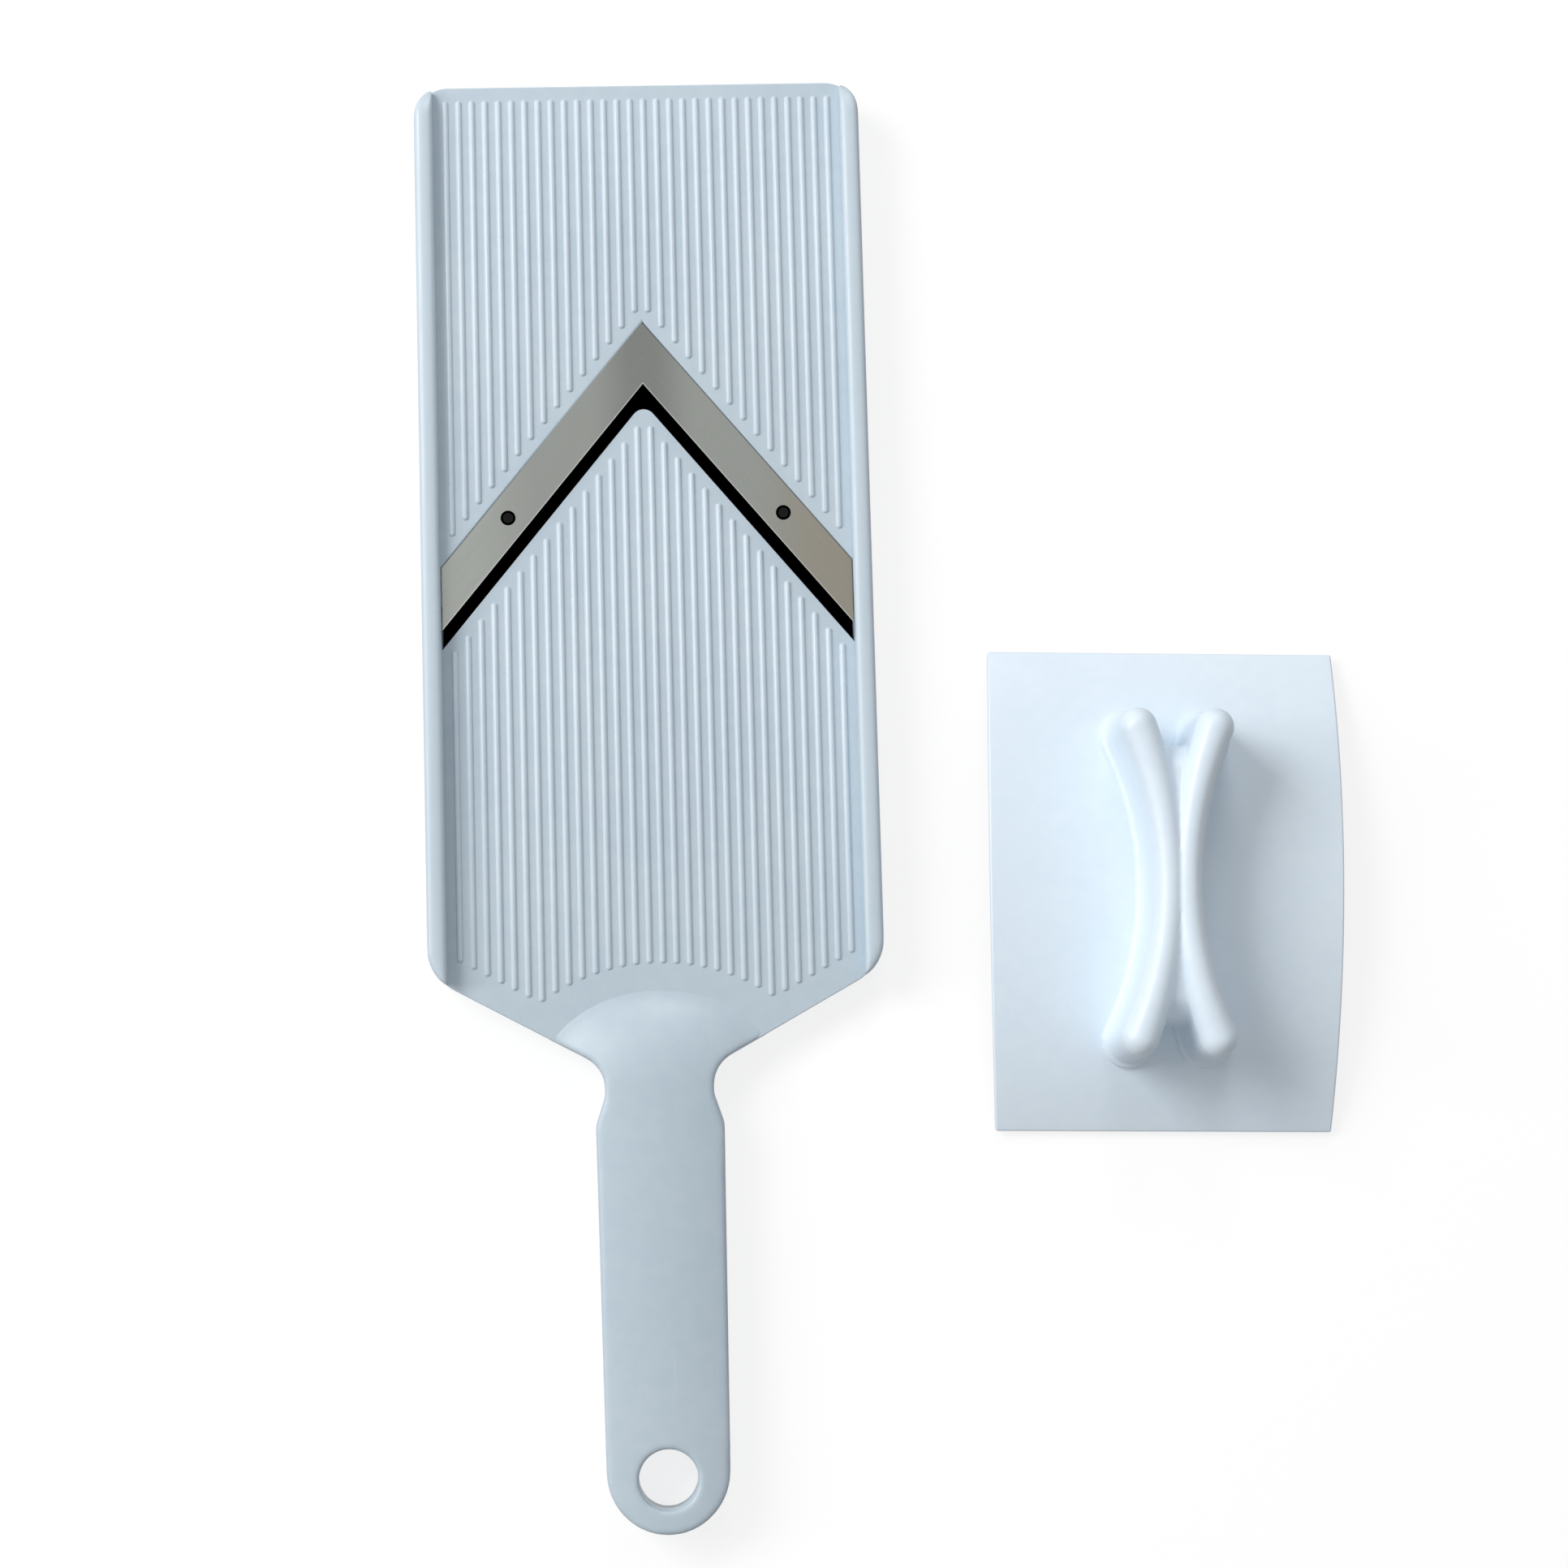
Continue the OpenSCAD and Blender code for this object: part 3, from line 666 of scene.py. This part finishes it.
def material(name):
    """A finish, made when it is first asked for."""
    if name not in FINISHES:
        f = bpy.context.scene.grater_finish
        make, *values = {
            # The board's rail tops and the ribs get a painted highlight: a lighter colour
            "board_plastic": (plastic, name, f.board, f.board_shade, f.board_rough, f.board_grain, True),
            "rib_plastic": (plastic, name, f.rib, f.rib_shade, f.rib_rough, f.rib_grain),
            "guard_plastic": (plastic, name, f.guard, f.guard_shade, f.guard_rough, f.guard_grain),
            "blade_steel": (blade_finish, bpy.context.scene.grater_board),
            "dark_steel": (dark_finish,),
            "plain_steel": (zinc_finish,),
        }[name]
        FINISHES[name] = make(f, *values)
    return FINISHES[name]


# Pieces

class GRATER_OT_board(bpy.types.Operator):
    """Model the board: two rails, the near plate and the far plate with their skirts and cross ribs"""
    bl_idname = "grater.board"
    bl_label = "Board"

    def execute(self, context):
        s = context.scene.grater_board
        outline = board_outline(s)
        inner = BOARD_HIGH.x - s.rail_width
        parts = [self.rails(s, clip(outline, (inner, 0), (-1, 0)))]
        tucked = [Vector((point.x * (1 - s.tuck / BOARD_HIGH.x), point.y)) for point in outline]
        parts.append(self.far_plate(s, tucked))
        parts.append(self.near_plate(s, tucked, context.scene.grater_handle))
        parts += self.underside(s, inner)
        done(join("grater_board", *parts), "grater", "board", material("board_plastic"))
        return {"FINISHED"}

    def rails(self, s, outline):
        radius = (s.rail_end ** 2 + s.rail_end_drop ** 2) / (2 * s.rail_end_drop)

        def height(y):
            over = max(0.0, y - BOARD_HIGH.y + s.rail_end)
            return BOARD_HIGH.z - radius + math.sqrt(radius ** 2 - over ** 2)

        rail = melt(prism("rails", outline, 0, BOARD_HIGH.z), s.rail_voxel, s.rail_rounds, height)
        return modify(rail, "MIRROR", use_mirror_merge=False)

    def hollow(self, s, plate, top):
        return carve(plate, prism("hollow", board_outline(s, s.wall), -s.wall, top - s.plate))

    def far_plate(self, s, outline):
        right = clip(outline, (0, 0), (-1, 0))
        right = clip(right, (0, v_apex(s, s.ledge)), (-math.cos(s.v_half), -math.sin(s.v_half)))
        plate = prism("far_plate", right, 0, s.far_top)
        with editing(plate) as mesh:
            pick(mesh, "FACE", lambda f: all(v.co.x < HAIR for v in f.verts))
            bpy.ops.mesh.delete(type="FACE")
        modify(plate, "MIRROR", use_mirror_merge=True, merge_threshold=HAIR)
        self.hollow(s, plate, s.far_top)
        seat = inside_v(s, outline, v_apex(s, s.seat))
        carve(plate, prism("seat", seat, s.far_top - s.seat_depth, BOARD_HIGH.z))
        return soften(plate, s.edge_round)

    def near_plate(self, s, outline, h):
        lip = v_apex(s, -s.lip)
        outline = inside_v(s, outline, lip)
        centre = lip - s.lip_round / math.sin(s.v_half)
        for a in range(40, 141, 10):
            way = Vector((math.cos(math.radians(a)), math.sin(math.radians(a))))
            outline = clip(outline, Vector((0, centre)) + s.lip_round * way, way)
        plate = prism("near_plate", outline, 0, s.near_top)
        self.hollow(s, plate, s.near_top)
        carve(plate, peg("root", 0, h.mound_y, -s.wall, BOARD_HIGH.z, h.mound - h.overlap, 128))
        return soften(plate, s.edge_round)

    def underside(self, s, inner):
        """Two cross ribs under each plate, and the lugs over the rivets' washers."""
        lip = v_apex(s, -s.lip) - inner / math.tan(s.v_half)
        back = v_apex(s, s.seat)
        half = s.rib_thickness / 2
        parts = []
        for start, end, top in ((s.corner_y, lip, s.near_top), (back, BOARD_HIGH.y, s.far_top)):
            for third in (1, 2):
                y = start + (end - start) * third / 3
                parts.append(block("cross_rib", Vector((-inner - half, y - half, s.rib_low)),
                                   Vector((inner + half, y + half, top - s.plate / 2))))
        low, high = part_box("rivet_washers")
        x, y = high.x - (high.y - low.y) / 2, (low.y + high.y) / 2
        seat = s.far_top - s.seat_depth
        for side in (1, -1):
            parts.append(peg("lug", side * x, y, seat - s.lug_height, seat - GAP, s.lug_radius))
        return [soften(part, s.under_round) for part in parts]


class GRATER_OT_handle(bpy.types.Operator):
    """Model the hollow handle with its neck, its rounded root, its webs and the hanging hole"""
    bl_idname = "grater.handle"
    bl_label = "Handle"

    def execute(self, context):
        b, h = context.scene.grater_board, context.scene.grater_handle
        top = BOARD_HIGH.z
        handle = prism("grater_handle", handle_outline(b, h, 0, h.mound), 0, top)
        carve(handle, prism("hollow", handle_outline(b, h, b.wall, h.mound + b.wall), -b.wall, top - b.wall))
        carve(handle, peg("bore", 0, 0, -b.wall, top + b.wall, h.hole, 96))
        sleeve = peg("sleeve", 0, 0, 0, top - b.wall / 2, h.hole + b.wall, 96)
        carve(sleeve, peg("bore", 0, 0, -b.wall, top + b.wall, h.hole, 96))
        webs = []
        for third in (1, 2):
            y = h.shoulder_y * third / 3
            half = h.end_half - b.wall / 2
            webs.append(block("web", Vector((-half, y, 0)),
                              Vector((half, y + b.rib_thickness, top - b.wall / 2))))
        handle = melt(join("grater_handle", handle, sleeve, *webs), h.voxel, h.rounds)
        with editing(handle) as mesh:
            for vertex in mesh.verts:
                x, y, z = vertex.co
                over = max(0.0, y - h.roll_y)
                crowned = h.crown - math.sqrt(h.crown ** 2 - x * x)
                rolled = h.roll - math.sqrt(h.roll ** 2 - over ** 2)
                vertex.co.z = z * self.blend(h, top - crowned - rolled, self.sunk(b, h, x, y)) / top
        done(handle, "grater", "board", material("board_plastic"))
        return {"FINISHED"}

    def sunk(self, b, h, x, y):
        """Lowest height of the root's top: it sinks slowly into the near plate."""
        return b.near_top + (h.meet - math.hypot(x, y - h.mound_y)) * h.sink

    def blend(self, h, height, low):
        """The higher of two heights, with a rounded change from one to the other."""
        near = max(0.0, h.root_blend - abs(height - low))
        return max(height, low) + near ** 2 / (4 * h.root_blend)


class GRATER_OT_ribs(bpy.types.Operator):
    """Lay the rounded ribs on both plates"""
    bl_idname = "grater.ribs"
    bl_label = "Ribs"

    def execute(self, context):
        s, r = context.scene.grater_board, context.scene.grater_ribs
        lip, back = v_apex(s, -s.lip), v_apex(s, s.seat)
        pattern = self.pattern(r)
        ribs = []
        for i in range(r.number):
            x = (i - (r.number - 1) / 2) * r.pitch
            v_drop = abs(x) / math.tan(s.v_half)
            edge = s.corner_y - (BOARD_HIGH.x - abs(x)) * math.tan(s.slope) + r.lower_border
            arch = r.arch_y + math.sqrt(max(0.0, r.arch ** 2 - x * x))
            near = (max(edge, arch), lip - v_drop - r.blade_border, s.near_top - r.sink)
            far = (back - v_drop + r.blade_border, BOARD_HIGH.y - r.far_border, s.far_top - r.sink)
            ribs += [self.lay(pattern, x, *near), self.lay(pattern, x, *far)]
        only(pattern)
        bpy.ops.object.delete()
        # The ribs' finish carries a painted highlight: it is lighter than the board
        done(join("grater_ribs", *ribs), "grater", "board", material("rib_plastic"))
        return {"FINISHED"}

    def pattern(self, r):
        """One rib of no length: a ball whose lowest part is cut off, to be drawn out along Y."""
        radius = r.width / 2
        bpy.ops.mesh.primitive_uv_sphere_add(segments=16, ring_count=11, radius=radius,
                                             rotation=(math.pi / 2, 0, 0))
        bpy.ops.object.transform_apply()
        ball = added("rib")
        with editing(ball):
            bpy.ops.mesh.select_all(action="SELECT")
            bpy.ops.mesh.bisect(plane_co=(0, 0, -radius * r.cut), plane_no=(0, 0, 1), clear_inner=True,
                                use_fill=True)
        only(ball)
        bpy.ops.object.shade_smooth_by_angle(angle=SHARP)
        return ball

    def lay(self, pattern, x, start, end, height):
        """A copy of the pattern, drawn out from start to end with its middle at a height."""
        only(pattern)
        bpy.ops.object.duplicate(linked=False)
        rib = bpy.context.object
        radius = pattern.dimensions.x / 2
        for vertex in rib.data.vertices:
            place = start + radius if vertex.co.y < 0 else end - radius
            vertex.co += Vector((x, place, height))
        return rib


class GRATER_OT_blade(bpy.types.Operator):
    """Finish the blade, its rivets and their washers, which keep the frame's shapes"""
    bl_idname = "grater.blade"
    bl_label = "Blade and rivets"

    def execute(self, context):
        paint("v_blade", material("blade_steel"))
        paint("blade_rivets", material("dark_steel"))
        paint("rivet_washers", material("plain_steel"))
        return {"FINISHED"}


def arch_radius(g):
    """Radius of the underside of the guard's plate."""
    return (g.length ** 2 / 4 + g.rise ** 2) / (2 * g.rise)


def arch_height(g, y, lift=0.0):
    """Height of the arch of the guard's plate at y, lifted square off its underside."""
    radius = arch_radius(g)
    return g.rise - radius + math.sqrt((radius + lift) ** 2 - y * y)


def lay_guard(g, piece):
    """Turns and moves a piece of the guard to where the guard lies."""
    only(piece)
    piece.location = g.place
    piece.rotation_euler = (0, 0, g.turn)
    bpy.ops.object.transform_apply()
    return piece


class GRATER_OT_guard_plate(bpy.types.Operator):
    """Model the arched plate of the guard with the teeth and screw bosses under it"""
    bl_idname = "grater.guard_plate"
    bl_label = "Guard plate"

    def execute(self, context):
        g = context.scene.grater_guard
        bpy.ops.mesh.primitive_grid_add(x_subdivisions=24, y_subdivisions=48, size=1)
        plate = added("guard_plate")
        reach = g.length - 0.3 * g.thickness  # its ends lean out with the arch
        with editing(plate) as mesh:
            for vertex in mesh.verts:
                y = vertex.co.y * reach
                half = g.width / 2 - g.side + math.sqrt(g.side ** 2 - (y - g.widest) ** 2)
                vertex.co = (2 * half * vertex.co.x, y, arch_height(g, y, g.thickness / 2))
        modify(plate, "SOLIDIFY", thickness=g.thickness, offset=0.0)
        soften(plate, g.edge_round, 3)
        rows = [(i - (g.teeth - 1) / 2) * g.tooth_pitch for i in range(g.teeth)]
        extras = [self.tooth(g, x, y) for x in rows for y in rows]
        for side in (1, -1):
            low = SCREWS_LOW.z + g.screw_head_height
            boss = peg("boss", 0, side * g.screw_half, low, g.rise + g.thickness / 2, g.spot)
            extras.append(soften(boss, g.spot_round))
        plate = lay_guard(g, join("guard_plate_skin", plate, *extras))
        done(plate, "guard", "guard_plate", material("guard_plastic"))
        return {"FINISHED"}

    def tooth(self, g, x, y):
        root = arch_height(g, y) + g.thickness / 3
        tip = arch_height(g, y) - g.tooth
        bpy.ops.mesh.primitive_cone_add(vertices=24, radius1=g.tooth_tip, radius2=g.tooth_root,
                                        depth=root - tip, location=(x, y, (root + tip) / 2))
        bpy.ops.object.transform_apply()
        return soften(added("tooth"), g.tooth_round)


# Extra half width of a bar of the grip, and how far above its flange; then degrees round its domed top
DRAFT, DOME = ((1.0 * MM, 0.2 * MM), (0.6 * MM, 4.0 * MM)), (0, 15, 30, 45, 60, 72, 82)


class GRATER_OT_guard_grip(bpy.types.Operator):
    """Model the grip of the guard: two curved bars back to back, with a flanged foot"""
    bl_idname = "grater.guard_grip"
    bl_label = "Guard grip"

    def execute(self, context):
        g = context.scene.grater_guard
        grip = join("guard_grip_skin", self.bar(g, 1), self.bar(g, -1), self.web(g))
        melt(grip, g.voxel, g.rounds)
        with editing(grip) as mesh:  # its foot ends inside the plate
            for vertex in mesh.verts:
                vertex.co.z = max(vertex.co.z, arch_height(g, vertex.co.y, g.thickness / 2))
        done(lay_guard(g, grip), "guard", "guard_grip", material("guard_plastic"))
        return {"FINISHED"}

    def web(self, g):
        """Fills the valley between the bars, with a top that falls towards its ends."""
        centre = g.waist / 2 + g.bar
        places = spread(16, -g.web / 2, g.web / 2)
        right = [Vector((centre - math.sqrt(g.bar ** 2 - y * y), y)) for y in places]
        left = [Vector((-point.x, point.y)) for point in reversed(right)]
        web = prism("web", right + left, 0, g.rise + g.thickness + g.grip_height)
        side = prism("side", self.web_side(g), -g.grip, g.grip)
        side.rotation_euler = (math.pi / 2, 0, math.pi / 2)
        bpy.ops.object.transform_apply()
        return carve(web, side, "INTERSECT")

    def web_side(self, g):
        """Outline of the web from the side, from inside the plate up to its rounded ends and falling top."""
        top = g.rise + g.thickness + g.grip_height - g.web_drop
        radius = (g.web ** 2 / 4 + g.web_fall ** 2) / (2 * g.web_fall)
        level = g.web / 2 - g.web_end
        places = spread(64, -g.web / 2, g.web / 2)
        points = [Vector((y, arch_height(g, y, g.thickness / 2))) for y in places]
        for y in reversed(places):
            over = min(g.web_end, max(0.0, abs(y) - level))
            fall = radius - math.sqrt(radius ** 2 - y * y)
            points.append(Vector((y, top - fall - g.web_end + math.sqrt(g.web_end ** 2 - over ** 2))))
        return points

    def ring(self, g, side, half):
        """Outline of a bar in plan: as wide as asked for at its ends and narrower at the waist."""
        reach = math.asin((g.grip / 2 - g.bar_half) / g.bar)
        centre = g.waist / 2 + g.bar
        slim = (g.bar_half - g.waist_half) * min(1.0, half / g.bar_half)
        points = []
        for face, start in ((-1, 0), (1, math.pi)):
            for t in spread(16, face, -face):
                radius = g.bar + face * (half - slim * (1 - t * t))
                points.append((centre - radius * math.cos(reach * t), radius * math.sin(reach * t)))
            points += self.cap(g, centre, -face * reach, half, start)
        return [Vector((side * x, y)) for x, y in points]

    def cap(self, g, centre, reach, half, start):
        """Half round at one end of a bar, in plan."""
        x, y = centre - g.bar * math.cos(reach), g.bar * math.sin(reach)
        turn = [start - reach + math.pi * k / 10 for k in range(1, 10)]
        return [(x + half * math.cos(a), y + half * math.sin(a)) for a in turn]

    def bar(self, g, side):
        """A bar drawn up ring by ring: its foot follows the arch of the plate, and its top is level."""
        top = g.rise + g.thickness + g.grip_height
        w = g.bar_half
        foot = w + g.flange
        levels = [(foot, -g.foot_sink, True), (foot, g.flange_height - g.flange_fall, True)]
        levels += [(w + extra, g.flange_height + above, True) for extra, above in DRAFT]
        levels += [(w * math.cos(a), top - w + w * math.sin(a), False) for a in map(math.radians, DOME)]
        rings = [(self.ring(g, side, half), height, follow) for half, height, follow in levels]
        bpy.ops.mesh.primitive_circle_add(vertices=len(rings[0][0]), radius=MM, fill_type="NGON")
        bar = added("bar")
        with editing(bar) as mesh:
            bpy.ops.mesh.select_all(action="SELECT")
            self.move(g, list(mesh.verts), *rings[0])
            for ring in rings[1:]:
                bpy.ops.mesh.extrude_region_move()
                mesh = bmesh.from_edit_mesh(bar.data)
                face = next(f for f in mesh.faces if f.select)
                self.move(g, list(face.verts), *ring)
            bpy.ops.mesh.select_all(action="SELECT")
            bpy.ops.mesh.normals_make_consistent(inside=False)
        return bar

    def move(self, g, vertices, outline, height, follow):
        for vertex, point in zip(vertices, outline):
            base = arch_height(g, point.y, g.thickness) if follow else 0.0
            vertex.co = (point.x, point.y, base + height)


class GRATER_OT_guard_screws(bpy.types.Operator):
    """Model the two screws that hold the grip, with a cross recess in each head"""
    bl_idname = "grater.guard_screws"
    bl_label = "Guard screws"

    def execute(self, context):
        g = context.scene.grater_guard
        low, high = SCREWS_LOW.z, SCREWS_HIGH.z
        neck, deep = low + g.screw_head_height, g.screw_head_height * 0.6
        arm, slot, shank = g.screw_head * 0.55, g.screw_head * 0.12, g.screw_head * 0.5
        screws = []
        for side in (1, -1):
            y = side * g.screw_half
            head = peg("screw", 0, y, low, neck, g.screw_head)
            with editing(head) as mesh:
                pick(mesh, "EDGE", lambda e: all(v.co.z < low + GAP for v in e.verts))
                bpy.ops.mesh.bevel(offset=deep, segments=5, affect="EDGES")
            for a, c in ((arm, slot), (slot, arm)):
                carve(head, block("recess", Vector((-a, y - c, low - deep)), Vector((a, y + c, low + deep))))
            screws.append(soften(head, g.screw_round))
            screws.append(peg("shank", 0, y, neck - 2 * GAP, high, shank))
        screws = lay_guard(g, join("guard_screws", *screws))
        done(screws, "guard", "grip_screws", material("plain_steel"))
        return {"FINISHED"}


class GRATER_OT_stage(bpy.types.Operator):
    """Set up the floor, the lights and the camera"""
    bl_idname = "grater.stage"
    bl_label = "Stage"

    def execute(self, context):
        s = context.scene.grater_stage
        bpy.ops.mesh.primitive_plane_add(size=s.floor_size, location=(0, 0, -2 * HAIR))
        floor = added("floor")
        floor.data.materials.append(self.paper(context, s))
        for name in ("key", "low", "window"):
            self.light(s, name)
        self.surroundings(context, s)
        bpy.ops.object.camera_add(location=s.camera, rotation=s.aim)
        camera = bpy.context.object
        camera.data.sensor_width = s.sensor
        camera.data.lens = s.lens
        context.scene.camera = camera
        context.scene.view_settings.view_transform = "Standard"
        return {"FINISHED"}

    def paper(self, context, s):
        """Pale floor that stays light in its shadows, with painted shade: black in the closed space under
        the throat and the rest of the board, so that the throat shows dark.
        """
        board = context.scene.grater_board
        paper = Finish("floor", Roughness=0.9, Specular_IOR_Level=0.0, Emission_Strength=1.0)
        x, y, z = paper.axes()
        side = BOARD_HIGH.x - board.rail_width / 2
        start, end = board.corner_y + board.near_radius, BOARD_HIGH.y - board.far_radius
        # Painted shade: the floor is black under the board between its rails, with no glow there, so that
        # the throat shows dark
        across = x.math("ABSOLUTE").band(side - 3 * GAP, side + GAP, 1.0, 0.0)
        under = across * y.band(start, start + MM) * y.band(end - MM, end, 1.0, 0.0)
        paper.set(Base_Color=paper.mix(under, s.floor, (0.0, 0.0, 0.0)),
                  Emission_Color=paper.mix((1.0 - under) * paper.seen(), (0.0, 0.0, 0.0), [s.glow] * 3))
        return paper.material

    def surroundings(self, context, s):
        world = context.scene.world or bpy.data.worlds.new("surroundings")
        context.scene.world = world
        world.use_nodes = True
        sky = Shading(world.node_tree)
        background = sky.tree.nodes["Background"]
        sky.feed(background.inputs["Color"], (1, 1, 1, 1))
        sky.feed(background.inputs["Strength"], sky.seen().band(0.0, 1.0, s.world, 1.0))

    def light(self, s, name):
        place = Vector(getattr(s, f"{name}_place"))
        turn = (Vector(s.lit) - place).to_track_quat("-Z", "Y").to_euler()
        bpy.ops.object.light_add(type="AREA", location=place, rotation=turn)
        lamp = bpy.context.object
        lamp.name = name
        lamp.data.energy = getattr(s, name)
        lamp.data.size = getattr(s, f"{name}_size")


PIECES = (GRATER_OT_board, GRATER_OT_handle, GRATER_OT_ribs, GRATER_OT_blade, GRATER_OT_guard_plate,
          GRATER_OT_guard_grip, GRATER_OT_guard_screws, GRATER_OT_stage)
SETTINGS = {"grater_board": BoardSettings, "grater_handle": HandleSettings, "grater_ribs": RibSettings,
            "grater_guard": GuardSettings, "grater_finish": FinishSettings, "grater_stage": StageSettings}


class GRATER_PT_panel(bpy.types.Panel):
    """Settings of the grater and the steps that model it"""
    bl_idname = "GRATER_PT_panel"
    bl_label = "Cabbage grater"
    bl_space_type = "VIEW_3D"
    bl_region_type = "UI"
    bl_category = "Grater"

    def draw(self, context):
        for step in PIECES:
            self.layout.operator(step.bl_idname)
        for name, group in SETTINGS.items():
            box = self.layout.box()
            box.label(text=name.replace("grater_", "").capitalize())
            for field in group.__annotations__:
                box.prop(getattr(context.scene, name), field)


def register():
    for group in SETTINGS.values():
        bpy.utils.register_class(group)
    for name, group in SETTINGS.items():
        setattr(bpy.types.Scene, name, bpy.props.PointerProperty(type=group))
    for operator in (*PIECES, GRATER_PT_panel):
        bpy.utils.register_class(operator)


def unregister():
    for operator in (GRATER_PT_panel, *PIECES):
        bpy.utils.unregister_class(operator)
    for name, group in SETTINGS.items():
        delattr(bpy.types.Scene, name)
        bpy.utils.unregister_class(group)


def main():
    register()
    bpy.ops.grater.board()
    bpy.ops.grater.handle()
    bpy.ops.grater.ribs()
    bpy.ops.grater.blade()
    bpy.ops.grater.guard_plate()
    bpy.ops.grater.guard_grip()
    bpy.ops.grater.guard_screws()
    bpy.ops.grater.stage()


if __name__ == "__main__":
    main()
